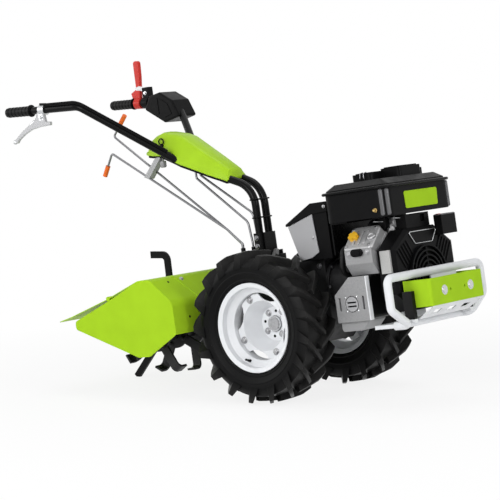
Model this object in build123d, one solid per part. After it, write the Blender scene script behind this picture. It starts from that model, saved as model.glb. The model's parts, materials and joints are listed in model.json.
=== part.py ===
"""Walking tractor with a rear tiller: two lugged wheels, a front engine and a steering column.

The machine is drawn level, with the wheel axle at the origin, +X forward, +Y to the left and
+Z up. At the end it is tipped nose up until its spur meets the floor, as it parks, and moved
so that the origin is under the middle of its outer box. All sizes are in millimetres.
"""
import os
from math import asin, atan2, degrees, hypot

from build123d import *

# Fits
FIT = 0.3
RUNNING_FIT = 0.06
SHEET = 3.0

# Wheels
TRACK = 506.0
RIM_RADIUS = 169.0
TYRE_HEIGHT = 116.0
TYRE_RADIUS = RIM_RADIUS + TYRE_HEIGHT
TYRE_WIDTH = 165.0
LUG_HEIGHT = 24.0
LUG_COUNT = 17
LUG_WIDTH = 34.0
LUG_LEAN = -56.0
LUG_TAPER = 9.0
FACETS_PER_LUG = 2
RIM_WIDTH = 128.0
BEAD_RADIUS = 152.0
WELL_RADIUS = 128.0
RIM_WALL = 4.0
DISC_WALL = 5.0
DISC_RING_RADIUS = 66.0
DISC_BOLT_RADIUS = 110.0
DISC_DEPTH = 72.0
LOBE_COUNT = 4
LOBE_TURN = 25.0
HUB_RADIUS = 52.0
HUB_THICK = 14.0
CAP_RADIUS = 29.0
CAP_LENGTH = 14.0
AXLE_RADIUS = 17.5
AXLE_TUBE_RADIUS = 44.0
HUB_GAP = 14.5
AXLE_TUBE_END = TRACK / 2 - DISC_DEPTH - DISC_WALL / 2 - HUB_THICK - HUB_GAP
AXLE_HELD = 80.0
AXLE_INNER_END = AXLE_TUBE_END - AXLE_HELD

# Gearbox and clutch
GEARBOX_HALF_WIDTH = 95.0
GEARBOX_REAR = -175.0
GEARBOX_FRONT = 200.0
GEARBOX_BOTTOM = -95.0
GEARBOX_TOP = 215.0
GEARBOX_CHAMFER = 60.0
CRANK_HEIGHT = 110.0
BELL_RADIUS = 104.0
BELL_FRONT = 300.0
BELL_FLANGE = 14.0

# Engine
BLOCK_FRONT = 515.0
BLOCK_HALF_WIDTH = 95.0
BLOCK_DEPTH = 120.0
BLOCK_SHOULDER = 100.0
CYLINDER_LEAN = 45.0
CYLINDER_X = 440.0
CYLINDER_SIZE = 112.0
CYLINDER_LENGTH = 90.0
FIN_COUNT = 8
HEAD_HEIGHT = 46.0
OIL_CAP_RADIUS = 19.0
BLOWER_FRONT = 588.0
BLOWER_HALF_WIDTH = 186.0
BLOWER_SHOULDER = 222.0
BLOWER_TOP = 286.0
BLOWER_TOP_HALF_WIDTH = 92.0
SCREEN_RADIUS = 110.0
SCREEN_DEPTH = 14.0
RIB_COUNT = 5
RIB_PITCH = 15.0
RIB_LENGTH = 74.0
SHIELD_REAR = 395.0
SHIELD_FRONT = BLOCK_FRONT - FIT
SHIELD_SIDE = 218.0
SHIELD_TOP = 236.0
SHIELD_BOTTOM = 143.0
HOSE_DIAMETER = 20.0

# Muffler on the right of the engine
MUFFLER_REAR = 321.0
MUFFLER_FRONT = 467.0
MUFFLER_TOP = 135.0
MUFFLER_BOTTOM = -18.0
MUFFLER_SIDE = 205.0
GUARD_THICK = 10.0

# Fuel tank
TANK_REAR = 313.0
TANK_FRONT = 597.0
TANK_HALF_WIDTH = 204.0
TANK_BOTTOM = 340.0
TANK_SEAM = 442.0
TANK_WALL = 4.0
TANK_CORNER = 40.0
TANK_LIP = 8.0
TANK_CROWN = 34.0

# Battery box
BATTERY_REAR = 92.0
BATTERY_FRONT = 290.0
BATTERY_TOP = 424.0
BATTERY_TYRE_GAP = 20.5
BATTERY_HALF_WIDTH = TRACK / 2 - TYRE_WIDTH / 2 - BATTERY_TYRE_GAP
BATTERY_PLATE = 4.0

# Bumper
BUMPER_X = 619.0
BUMPER_TOP = 124.0
BUMPER_HALF_WIDTH = 290.0
BUMPER_KNEE = 12.0
BUMPER_BAR_SPREAD = 195.0
BUMPER_BAR_HEIGHT = -50.0
BUMPER_BAR_REAR = 472.0
BUMPER_BAR_DEPTH = 14.0
PLATE_FRONT = 710.0
PLATE_REAR = BLOWER_FRONT + 6.0
PLATE_HALF_WIDTH = 166.0
PLATE_BOTTOM = 6.0
PLATE_HEIGHT = 97.0
PLATE_THICK = 6.0
PLATE_HOLE_SPACING = 90.0
PLATE_HOLE_DIAMETER = 9.0
SKID_THICK = 4.0

# Steering column and handlebar
COLUMN_X = -146.0
COLUMN_SPREAD = 56.0
TUBE_DIAMETER = 30.0
SWIVEL_RADIUS = 62.0
SWIVEL_BOTTOM = 252.0
SWIVEL_THICK = 16.0
SOCKET_TOP = 341.0
PIVOT_PIN_RADIUS = 10.0
COLUMN_BEND_HEIGHT = 518.0
CONSOLE_TUBE_X = -475.0
CONSOLE_TUBE_Y = 60.0
CONSOLE_TUBE_Z = 660.0
HANDLE_BEND_X = -757.0
HANDLE_BEND_Y = 290.0
HANDLE_BEND_Z = 931.0
GRIP_END_X = -1134.0
GRIP_Y = 306.0
GRIP_Z = 961.0
GRIP_LENGTH = 135.0
GRIP_DIAMETER = 37.0
CONSOLE_WALL = 4.0
CONSOLE_ROUND = 13.0
ROD_DIAMETER = 9.0
KNOB_DIAMETER = 19.0
KNOB_LENGTH = 46.0
TRAY_THICK = 5.0
CABLE_DIAMETER = 8.0
CABLE_START = 206.5
CABLE_END = 60.0

# Tiller
TILLER_NECK_Z = 90.0
TILLER_NECK_RADIUS = 56.0
HOOD_TYRE_GAP = 23.0
HOOD_FRONT_X = -TYRE_RADIUS - HOOD_TYRE_GAP
HOOD_RIDGE_FRONT_X = HOOD_FRONT_X - 102.0
HOOD_RIDGE_REAR_X = HOOD_RIDGE_FRONT_X - 57.0
HINGE_X = HOOD_RIDGE_REAR_X - 173.0
ROTOR_X = HOOD_RIDGE_REAR_X - 23.0
ROTOR_Z = 5.0
ROTOR_SHAFT_RADIUS = 20.0
TINE_RADIUS = 160.0
TINE_WIDTH = 38.0
TINE_THICK = 8.0
TINE_FOOT = 40.0
TINES_PER_FLANGE = 4
TINE_FLANGE_RADIUS = 62.0
TINE_FLANGE_PLACES = (106.0, 207.0, 308.0)
CASE_HALF_WIDTH = 34.0
TILLER_HALF_WIDTH = 400.0
HOOD_SEAM = 198.0
HOOD_TOP = 224.0
HINGE_Z = 170.0
HINGE_PIN_RADIUS = 5.0
HINGE_KNUCKLE_RADIUS = 9.0
HOOD_BEND = 45.0
FLAP_KINK = (HINGE_X - 215.0, HINGE_Z - 55.0)
FLAP_TIP = (HINGE_X - 285.0, HINGE_Z - 69.0)
SPUR_TIP_X = HINGE_X - 286.0
SPUR_TIP_Z = -175.0
SPUR_DEPTH = 28.0
SPUR_THICK = 12.0


def box(x0, x1, y0, y1, z0, z1):
    """A block between two corners."""
    middle = Pos((x0 + x1) / 2, (y0 + y1) / 2, (z0 + z1) / 2)
    return middle * Box(x1 - x0, y1 - y0, z1 - z0)


def side_prism(points, y0, y1):
    """A side-view outline of (x, z) points, extruded from y0 to y1."""
    face = Plane.XZ.offset(-y0) * make_face(Polyline(*points, close=True))
    return extrude(face, -(y1 - y0))


def front_prism(points, x0, x1):
    """A front-view outline of (y, z) points, extruded from x0 to x1."""
    face = Plane.YZ.offset(x0) * make_face(Polyline(*points, close=True))
    return extrude(face, x1 - x0)


def bent_sheet(points, y0, y1, thickness=SHEET, bend=12.0):
    """A folded sheet with a side-view line of (x, z) points, from y0 to y1."""
    line = FilletPolyline(*points, radius=bend)
    face = Plane.XZ.offset(-y0) * trace(line, thickness)
    return extrude(face, -(y1 - y0))


def rod(points, diameter, bend=None):
    """A round bar along a line of points with bent corners, one stretch at a time."""
    path = FilletPolyline(*points, radius=bend) if bend else Line(*points)
    stretches = []
    for edge in path.edges():
        section = Plane(edge @ 0, z_dir=edge % 0) * Circle(diameter / 2)
        stretches.append(sweep(section, path=edge))
    return stretches[0].fuse(*stretches[1:]) if len(stretches) > 1 else stretches[0]


def disc_x(radius, x0, x1, y=0.0, z=0.0):
    """A round disc with its axis along X."""
    return extrude(Plane.YZ.offset(x0) * Pos(y, z) * Circle(radius), x1 - x0)


def disc_y(radius, y0, y1, x=0.0, z=0.0):
    """A round disc with its axis along Y."""
    return extrude(Plane.XZ.offset(-y0) * Pos(x, z) * Circle(radius), -(y1 - y0))


def disc_z(radius, z0, z1, x=0.0, y=0.0):
    """A round disc with its axis along Z."""
    return extrude(Plane.XY.offset(z0) * Pos(x, y) * Circle(radius), z1 - z0)


def mirrored(solid):
    """The same piece on the other side of the machine."""
    return mirror(solid, about=Plane.XZ)


# Wheels, drawn about their own centre with the outer side towards -Y


def faceted_ring(stations):
    """A ring of flat facets, ruled from each (radius, y) station to its mirror on the far side."""
    whole = stations + [(radius, -y) for radius, y in stations[::-1] if y]
    sides = FACETS_PER_LUG * LUG_COUNT
    sections = [Plane.XZ.offset(-y) * RegularPolygon(radius, sides) for radius, y in whole]
    return loft(sections, ruled=True)


def tyre():
    """A carcass with bar lugs in a chevron on each half of the tread."""
    crown = TYRE_RADIUS - LUG_HEIGHT
    half = TYRE_WIDTH / 2
    bead = (RIM_RADIUS + FIT, 4 - RIM_WIDTH / 2)
    seat = (BEAD_RADIUS + RIM_WALL / 2 + FIT, 8 - RIM_WIDTH / 2)
    belly = ((crown + RIM_RADIUS) / 2, 4 - half)
    shoulder = (crown - 12, 9 - half)
    flank = (RIM_RADIUS + 16, bead[1] - 8)
    carcass = faceted_ring([bead, flank, belly, shoulder, (crown, -half / 3)])
    room = Polyline((0, bead[1]), bead, seat, (seat[0], -seat[1]), (bead[0], -bead[1]), (0, -bead[1]), close=True)
    carcass -= revolve(make_face(room), Axis.Y)
    envelope = faceted_ring([(TYRE_RADIUS - 14, -half), (TYRE_RADIUS, 24 - half)])
    inner_end = 10.0
    root = crown - 34
    bar = [
        (LUG_WIDTH / 2, inner_end),
        (-LUG_WIDTH / 2, inner_end),
        (LUG_LEAN - LUG_WIDTH * 0.7, -half - 20),
        (LUG_LEAN + LUG_WIDTH * 0.7, -half - 20),
    ]
    foot = Plane.XY.offset(root) * make_face(Polyline(*bar, close=True))
    lug = extrude(foot, TYRE_RADIUS + 10 - root, taper=LUG_TAPER) & envelope
    step = 360 / LUG_COUNT
    near = [Rot(0, step * i, 0) * lug for i in range(LUG_COUNT)]
    far_lug = mirror(lug, about=Plane.XZ)
    far = [Rot(0, step * (i + 0.5), 0) * far_lug for i in range(LUG_COUNT)]
    corner_down = Rot(0, 90 + nose_up(), 0)
    return corner_down * carcass.fuse(*near, *far)


def rim():
    """A deep well rim with four welded lugs inside."""
    half = RIM_WIDTH / 2
    lip = RIM_RADIUS - RIM_WALL / 2
    line = Polyline(
        (lip, -half),
        (BEAD_RADIUS, -half + 6),
        (BEAD_RADIUS, -half + 30),
        (WELL_RADIUS, -half + 46),
        (WELL_RADIUS, half - 46),
        (BEAD_RADIUS, half - 30),
        (BEAD_RADIUS, half - 6),
        (lip, half),
    )
    ring = revolve(trace(line, RIM_WALL), Axis.Y)
    reach = WELL_RADIUS - DISC_BOLT_RADIUS + 12
    lug = box(WELL_RADIUS - reach, WELL_RADIUS, -16, 16, -18, 18)
    lug = Pos(0, DISC_WALL / 2 + 16 + FIT, 0) * lug
    for index in range(LOBE_COUNT):
        ring += Rot(0, 360 / LOBE_COUNT * index - LOBE_TURN, 0) * lug
    return ring


def disc():
    """A dished disc with four lobes that bolt to the rim's lugs."""
    edge = WELL_RADIUS - RIM_WALL - FIT
    line = Polyline(
        (CAP_RADIUS + 2, DISC_DEPTH),
        (DISC_RING_RADIUS, DISC_DEPTH),
        (DISC_BOLT_RADIUS - 14, 0),
        (edge, 0),
    )
    dish = revolve(trace(line, DISC_WALL), Axis.Y)
    gap = disc_y(75, -20, 20, x=edge + 48)
    for index in range(LOBE_COUNT):
        dish -= Rot(0, 360 / LOBE_COUNT * (index + 0.5) - LOBE_TURN, 0) * gap
    return dish


def hub():
    """The wheel flange with its cap and its half of the axle."""
    face = DISC_DEPTH + DISC_WALL / 2
    inner = TRACK / 2 - AXLE_INNER_END
    flange = disc_y(HUB_RADIUS, face, face + HUB_THICK)
    cap = disc_y(CAP_RADIUS, face - CAP_LENGTH, face)
    shaft = disc_y(AXLE_RADIUS, face, inner)
    return flange + cap + shaft


def wheel_nodes():
    makers = {"tyre": tyre, "rim": rim, "wheel_disc": disc, "wheel_hub": hub}
    nodes = {}
    for name, make in makers.items():
        right = Pos(0, -TRACK / 2, 0) * make()
        nodes["right_" + name] = right
        nodes["left_" + name] = mirrored(right)
    return nodes


# Gearbox, clutch bell and engine


def gearbox():
    """The cast housing with its axle tubes and the seat of the steering column."""
    outline = [
        (GEARBOX_REAR, GEARBOX_BOTTOM + GEARBOX_CHAMFER),
        (GEARBOX_REAR + GEARBOX_CHAMFER, GEARBOX_BOTTOM),
        (GEARBOX_FRONT - GEARBOX_CHAMFER, GEARBOX_BOTTOM),
        (GEARBOX_FRONT, GEARBOX_BOTTOM + GEARBOX_CHAMFER),
        (GEARBOX_FRONT, GEARBOX_TOP),
        (GEARBOX_REAR, GEARBOX_TOP),
    ]
    body = side_prism(outline, -GEARBOX_HALF_WIDTH, GEARBOX_HALF_WIDTH)
    body += disc_y(AXLE_TUBE_RADIUS, -AXLE_TUBE_END, AXLE_TUBE_END)
    body += disc_z(SWIVEL_RADIUS - 6, GEARBOX_TOP, SWIVEL_BOTTOM - FIT, x=COLUMN_X + 20)
    pin_top = SWIVEL_BOTTOM + SWIVEL_THICK - 4
    body += disc_z(PIVOT_PIN_RADIUS, SWIVEL_BOTTOM - FIT, pin_top, x=COLUMN_X)
    bore = AXLE_RADIUS + RUNNING_FIT
    body -= disc_y(bore, AXLE_INNER_END - 5, AXLE_TUBE_END)
    body -= disc_y(bore, -AXLE_TUBE_END, 5 - AXLE_INNER_END)
    return body


def clutch_bell():
    """A flanged drum between the gearbox and the engine."""
    drum = disc_x(BELL_RADIUS - 10, GEARBOX_FRONT, BELL_FRONT, z=CRANK_HEIGHT)
    drum += disc_x(BELL_RADIUS, GEARBOX_FRONT, GEARBOX_FRONT + BELL_FLANGE, z=CRANK_HEIGHT)
    drum += disc_x(BELL_RADIUS, BELL_FRONT - BELL_FLANGE, BELL_FRONT, z=CRANK_HEIGHT)
    return drum


def engine_block():
    """The crankcase, whose shoulders seat the two leaning cylinders."""
    reach = BLOCK_SHOULDER * 2**0.5
    half = BLOCK_HALF_WIDTH
    ridge = reach - BLOCK_SHOULDER
    right_side = [(half, -BLOCK_DEPTH), (half, reach - half), (ridge, BLOCK_SHOULDER)]
    outline = right_side + [(-y, z) for y, z in right_side[::-1]]
    outline = [(y, z + CRANK_HEIGHT) for y, z in outline]
    return front_prism(outline, BELL_FRONT, BLOCK_FRONT)


def leaning(solid, side):
    """Turns a piece that stands on the crankshaft to one bank of the V; side is -1 on the right."""
    return Pos(CYLINDER_X, 0, CRANK_HEIGHT) * Rot(-side * CYLINDER_LEAN, 0, 0) * solid


def cylinder(side):
    """A cylinder with flat cooling fins."""
    half = CYLINDER_SIZE / 2
    core_half = half - 14
    low = BLOCK_SHOULDER
    stack = box(-core_half, core_half, -core_half, core_half, low, low + CYLINDER_LENGTH)
    pitch = CYLINDER_LENGTH / FIN_COUNT
    for index in range(FIN_COUNT):
        fin_top = low + pitch * (index + 1)
        stack += box(-half, half, -half, half, fin_top - pitch * 0.4, fin_top)
    return leaning(stack, side)


def valve_cover(side):
    """The rocker cover that closes the head of one cylinder."""
    half = CYLINDER_SIZE / 2
    low = BLOCK_SHOULDER + CYLINDER_LENGTH
    cover = box(-half - 8, half + 8, -half, half, low, low + HEAD_HEIGHT)
    cover = fillet(cover.edges().filter_by(Axis.Z), 16)
    cover = fillet(cover.faces().sort_by(Axis.Z)[-1].edges(), 10)
    return leaning(cover, side)


def oil_cap():
    """The filler cap on the right rocker cover."""
    low = BLOCK_SHOULDER + CYLINDER_LENGTH + HEAD_HEIGHT
    cap = disc_z(OIL_CAP_RADIUS, low, low + 16, x=-30)
    for index in range(6):
        angle = 60 * index
        cap -= Pos(-30, 0, 0) * Rot(0, 0, angle) * disc_z(4, low + 4, low + 16, x=OIL_CAP_RADIUS)
    return leaning(cap, -1)


def bank(distance, offset):
    """The (y, z) place on the right bank at a distance from the crankshaft and an offset below its middle."""
    slant = 0.5**0.5
    return (-(distance + offset) * slant, CRANK_HEIGHT + (distance - offset) * slant)


def head_shields():
    """The pressed air guides under the heads, one on each side."""
    seat = CYLINDER_SIZE / 2 + FIT
    outline = [
        bank(BLOCK_SHOULDER + 12, seat),
        bank(BLOCK_SHOULDER + CYLINDER_LENGTH + 32, seat),
        (-SHIELD_SIDE, SHIELD_TOP),
        (-SHIELD_SIDE, SHIELD_TOP - 51),
        (-SHIELD_SIDE + 28, SHIELD_BOTTOM),
    ]
    shield = front_prism(outline, SHIELD_REAR, SHIELD_FRONT)
    return [shield, mirrored(shield)]


def breather_hose():
    """A hose from the right rocker cover down to the crankcase."""
    cover_rear = CYLINDER_X - CYLINDER_SIZE / 2 - 8
    low = CRANK_HEIGHT + 38
    top_y, top_z = bank(BLOCK_SHOULDER + CYLINDER_LENGTH + HEAD_HEIGHT / 2, 22)
    points = [
        (cover_rear - FIT, top_y, top_z),
        (cover_rear - 26, top_y, top_z),
        (cover_rear - 26, top_y - 24, low),
        (cover_rear - 26, -BLOCK_HALF_WIDTH - FIT, low),
    ]
    return rod(points, HOSE_DIAMETER, [18, 28])


def carburettor():
    """The intake parts in the V between the cylinders, under the tank."""
    low = CRANK_HEIGHT + BLOCK_SHOULDER
    body = box(410, 480, -26, 26, low, low + 70)
    body += disc_x(30, 380, 500, z=low + 60)
    body += box(405, 500, -42, 42, low + 70, TANK_BOTTOM)
    return body


def blower_housing():
    """The front cowl that guides the cooling air to both cylinders."""
    half = BLOWER_HALF_WIDTH
    side = [
        (half / 2, CRANK_HEIGHT - SCREEN_RADIUS - 8),
        (half, CRANK_HEIGHT - 50),
        (half, BLOWER_SHOULDER),
        (BLOWER_TOP_HALF_WIDTH, BLOWER_TOP),
    ]
    outline = side + [(-y, z) for y, z in side[::-1]]
    cowl = front_prism(outline, BLOCK_FRONT, BLOWER_FRONT)
    cowl = chamfer(cowl.faces().sort_by(Axis.X)[-1].edges(), 12)
    badge = [(-80, 272), (80, 272), (47, 231), (-47, 231)]
    cowl += front_prism(badge, BLOWER_FRONT, BLOWER_FRONT + 3)
    slat = box(BLOWER_FRONT, BLOWER_FRONT + 4, -2.5, 2.5, -RIB_LENGTH / 2, RIB_LENGTH / 2)
    screen_room = disc_x(SCREEN_RADIUS + 5, BLOWER_FRONT, BLOWER_FRONT + 4, z=CRANK_HEIGHT)
    for index in range(RIB_COUNT):
        rib = Pos(0, -146 + RIB_PITCH * index, 182 + RIB_PITCH * 0.5 * index) * Rot(32, 0, 0) * slat
        rib -= screen_room
        cowl += rib
        cowl += mirrored(rib)
    return cowl


def shroud_plates():
    """The bare metal side plates of the cowl."""
    plate = box(532, 588 - 14, -BLOWER_HALF_WIDTH - 10, -BLOWER_HALF_WIDTH, 138, BLOWER_SHOULDER - 2)
    return [plate, mirrored(plate)]


def fan_screen():
    """A round grille of rings and spokes on the cowl."""
    low = BLOWER_FRONT
    high = BLOWER_FRONT + SCREEN_DEPTH
    bar = 6.0
    ring_pitch = 18.0
    outer = SCREEN_RADIUS
    rings = []
    while outer > 2 * ring_pitch:
        ring = disc_x(outer, low, high, z=CRANK_HEIGHT)
        rings.append(ring - disc_x(outer - bar, low, high, z=CRANK_HEIGHT))
        outer -= ring_pitch
    screen = disc_x(outer, low, high, z=CRANK_HEIGHT).fuse(*rings)
    for index in range(6):
        spoke = box(low, high - 4, -bar / 2, bar / 2, ring_pitch, SCREEN_RADIUS - bar / 2)
        screen += Pos(0, 0, CRANK_HEIGHT) * Rot(60 * index, 0, 0) * spoke
    return screen


def tank_slab(low, high, inset, corner):
    """A round-cornered slab of the tank's plan, drawn in by an inset."""
    middle = (TANK_REAR + TANK_FRONT) / 2
    length = TANK_FRONT - TANK_REAR - 2 * inset
    width = 2 * TANK_HALF_WIDTH - 2 * inset
    plan = Plane.XY.offset(low) * Pos(middle, 0) * RectangleRounded(length, width, corner)
    return extrude(plan, high - low)


def fuel_tank():
    """The lower half of the tank, hollow, with an upright round at each corner."""
    shell = tank_slab(TANK_BOTTOM, TANK_SEAM, 0, TANK_CORNER)
    room = tank_slab(TANK_BOTTOM + TANK_WALL, TANK_SEAM, TANK_WALL, TANK_CORNER - TANK_WALL)
    return shell - room


def tank_top():
    """The upper half of the tank: an overhanging lip and a sloped crown."""
    lip = tank_slab(TANK_SEAM, TANK_SEAM + TANK_LIP, -TANK_LIP, TANK_CORNER + TANK_LIP)
    crown = tank_slab(TANK_SEAM + TANK_LIP, TANK_SEAM + TANK_CROWN, 4, TANK_CORNER - 4)
    crown = chamfer(crown.faces().sort_by(Axis.Z)[-1].edges(), 20, 34)
    room = tank_slab(TANK_SEAM, TANK_SEAM + TANK_CROWN - TANK_WALL, TANK_CORNER, TANK_CORNER / 2)
    return lip + crown - room


def air_cleaner():
    """The low stack of air filter pieces on the crown of the tank."""
    base = TANK_SEAM + TANK_CROWN
    rear = TANK_REAR + 62
    body = box(rear, rear + 90, -92, 70, base, base + 26)
    body = fillet(body.edges().filter_by(Axis.Z), 16)
    high = box(rear + 70, rear + 160, -10, 128, base, base + 36)
    high = fillet(high.edges().filter_by(Axis.Z), 14)
    step = box(rear + 80, rear + 150, 110, 148, base, base + 24)
    return body + high + fillet(step.edges().filter_by(Axis.Z), 8)


def tank_stand():
    """A folded bracket from the crankcase up to the rear of the tank."""
    low = CRANK_HEIGHT + BLOCK_SHOULDER
    back = box(304, 310, -160, 160, low + 14, TANK_BOTTOM)
    foot = box(304, 350, -36, 36, low, low + 6)
    web = box(304, 310, -36, 36, low, low + 14)
    shelf = box(304, 380, -160, 160, TANK_BOTTOM - 6, TANK_BOTTOM)
    return back + foot + web + shelf


def muffler():
    """A boxed silencer with a narrower sump below."""
    body_line = [
        (MUFFLER_REAR + 78, MUFFLER_TOP),
        (MUFFLER_FRONT, MUFFLER_TOP),
        (MUFFLER_FRONT, MUFFLER_BOTTOM),
        (MUFFLER_REAR, MUFFLER_BOTTOM),
        (MUFFLER_REAR, MUFFLER_TOP - 66),
    ]
    body = side_prism(body_line, -MUFFLER_SIDE, -BLOCK_HALF_WIDTH)
    body = fillet(body.edges().filter_by(Axis.Y), 14)
    low = MUFFLER_BOTTOM - 36
    sump_line = [
        (MUFFLER_REAR + 4, MUFFLER_BOTTOM + 20),
        (MUFFLER_FRONT - 18, MUFFLER_BOTTOM + 20),
        (MUFFLER_FRONT - 18, MUFFLER_BOTTOM - 4),
        (MUFFLER_FRONT - 50, low),
        (MUFFLER_REAR + 4, low),
    ]
    sump = side_prism(sump_line, 4 - MUFFLER_SIDE, -BLOCK_HALF_WIDTH - 6)
    return body + fillet(sump.edges().filter_by(Axis.Y).sort_by(Axis.Z)[:2], 12)


def muffler_guard():
    """A slotted guard plate with the round outlet showing through."""
    bottom = MUFFLER_BOTTOM - 2
    top = MUFFLER_TOP + 6
    outline = [
        (MUFFLER_REAR + 72, top),
        (MUFFLER_FRONT, top),
        (MUFFLER_FRONT, bottom),
        (MUFFLER_REAR, bottom),
        (MUFFLER_REAR, top - 60),
    ]
    outer = -MUFFLER_SIDE - GUARD_THICK
    guard = side_prism(outline, outer, -MUFFLER_SIDE)
    middle = (MUFFLER_REAR + MUFFLER_FRONT) / 2
    guard -= disc_y(30, outer, -MUFFLER_SIDE, x=middle, z=44)
    for x in (MUFFLER_REAR + 20, MUFFLER_FRONT - 20):
        guard -= box(x - 4, x + 4, outer, -MUFFLER_SIDE, 22, 70)
    return guard


def muffler_outlet():
    """The round outlet with two bars across it."""
    middle = (MUFFLER_REAR + MUFFLER_FRONT) / 2
    outer = -MUFFLER_SIDE - GUARD_THICK
    ring = disc_y(27, outer, -MUFFLER_SIDE, x=middle, z=44)
    for z in (36, 50):
        ring -= box(middle - 20, middle + 20, outer, outer + 4, z - 3, z + 3)
    return ring


def battery_plate_line():
    """The (x, z) outline of a side plate of the battery box, under its lid."""
    return [
        (BATTERY_REAR + 5, BATTERY_TOP - 76),
        (BATTERY_REAR + 124, BATTERY_TOP - 40),
        (BATTERY_REAR + 134, GEARBOX_TOP + 28),
        (BATTERY_REAR + 98, GEARBOX_TOP + 10),
        (BATTERY_REAR + 44, GEARBOX_TOP + 3),
    ]


def battery_box():
    """The battery box on the gearbox, with an overhanging lid that falls away to the rear."""
    corner = battery_plate_line()
    body_line = [
        (corner[4][0], GEARBOX_TOP),
        (BATTERY_FRONT - 8, GEARBOX_TOP),
        (BATTERY_FRONT - 8, BATTERY_TOP - 36),
        corner[1],
        corner[0],
    ]
    inner = BATTERY_HALF_WIDTH - BATTERY_PLATE
    body = side_prism(body_line, -inner, inner)
    lid_line = [
        (BATTERY_REAR - 3, BATTERY_TOP - 74),
        corner[1],
        (BATTERY_FRONT, BATTERY_TOP - 36),
        (BATTERY_FRONT, BATTERY_TOP),
        (BATTERY_REAR + 124, BATTERY_TOP),
        (BATTERY_REAR - 3, BATTERY_TOP - 66),
    ]
    return body + side_prism(lid_line, -BATTERY_HALF_WIDTH - 3, BATTERY_HALF_WIDTH + 3)


def battery_plates():
    """The bare side plates of the battery box."""
    plate = side_prism(battery_plate_line(), -BATTERY_HALF_WIDTH, BATTERY_PLATE - BATTERY_HALF_WIDTH)
    return [plate, mirrored(plate)]


def electrical_box():
    """The open connector box on the cowl's left shoulder and the speed control box on its top."""
    connector = box(BLOWER_FRONT, BLOWER_FRONT + 34, 84, 174, 246, BLOWER_TOP + 32)
    connector -= box(BLOWER_FRONT + 5, BLOWER_FRONT + 29, 89, 169, BLOWER_TOP - 20, BLOWER_TOP + 32)
    control = box(BLOCK_FRONT + 12, BLOWER_FRONT - 12, -72, 72, BLOWER_TOP, TANK_BOTTOM - 4)
    control -= box(BLOWER_FRONT - 24, BLOWER_FRONT - 12, 18, 46, BLOWER_TOP + 18, BLOWER_TOP + 44)
    return [connector, control]


# Bumper, front plate and skid plate


def bumper():
    """A bent tube hoop on two flat bars that run back under the engine."""
    half = BUMPER_HALF_WIDTH
    spread = BUMPER_BAR_SPREAD
    low = BUMPER_BAR_HEIGHT
    tube_rear = BUMPER_X - 60
    right = [
        (tube_rear, -spread, low),
        (BUMPER_X, -spread, low),
        (BUMPER_X, -half, BUMPER_KNEE),
        (BUMPER_X, -half, BUMPER_TOP),
    ]
    left = [(x, -y, z) for x, y, z in right[::-1]]
    frame = rod(right + left, TUBE_DIAMETER, 24)
    bar_half = BUMPER_BAR_DEPTH / 2
    frame += rod([(BUMPER_X - 40, -spread, low), (BUMPER_X - 40, spread, low)], TUBE_DIAMETER - 4)
    frame += box(BUMPER_BAR_REAR, BUMPER_BAR_REAR + 36, -spread, spread, low - bar_half, low + bar_half)
    pad_top = CRANK_HEIGHT - BLOCK_DEPTH
    frame += box(BUMPER_BAR_REAR, BUMPER_BAR_REAR + 36, -70, 70, low, pad_top)
    inner = PLATE_HALF_WIDTH
    for side in (-1, 1):
        frame += box(BUMPER_BAR_REAR, tube_rear + 10, side * spread - bar_half, side * spread + bar_half,
                     low - bar_half, low + bar_half)
        near, far = sorted((side * inner, side * (spread - TUBE_DIAMETER / 2 + 5)))
        frame += box(PLATE_REAR + 4, PLATE_REAR + 44, near, far, low + 4, PLATE_BOTTOM + 60)
    return frame + box(BUMPER_X - 3, BUMPER_X + 3, -30, 130, BUMPER_TOP - 40, BUMPER_TOP)


def front_plate():
    """A folded plate with two round holes between its bolts."""
    middle = PLATE_BOTTOM + PLATE_HEIGHT / 2
    front = PLATE_FRONT - PLATE_THICK / 2
    half = PLATE_HALF_WIDTH - PLATE_THICK / 2
    line = FilletPolyline(
        (PLATE_REAR, -half), (front, -half), (front, half), (PLATE_REAR, half), radius=9)
    plate = extrude(Plane.XY.offset(PLATE_BOTTOM) * trace(line, PLATE_THICK), PLATE_HEIGHT)
    for y in (-PLATE_HOLE_SPACING / 2, PLATE_HOLE_SPACING / 2):
        plate -= disc_x(PLATE_HOLE_DIAMETER / 2, front - PLATE_THICK, PLATE_FRONT + 1, y=y, z=middle)
    return plate


def skid_plate():
    """A sheet from the foot of the front plate down to the bumper's lower tube."""
    back = PLATE_FRONT - PLATE_THICK - SKID_THICK / 2
    low = BUMPER_BAR_HEIGHT + TUBE_DIAMETER / 2 - 2 + SKID_THICK / 2
    line = [(back, PLATE_BOTTOM + 24), (back, PLATE_BOTTOM - 2), (BUMPER_X + 16, low), (BUMPER_X - 60, low)]
    half = PLATE_HALF_WIDTH - 12
    sheet = bent_sheet(line, -half, half, SKID_THICK, 6)
    for y in (-90, 0, 90):
        sheet -= box(BUMPER_X + 36, BUMPER_X + 62, y - 22, y + 22, low, PLATE_BOTTOM)
    return sheet


# Tiller


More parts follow.
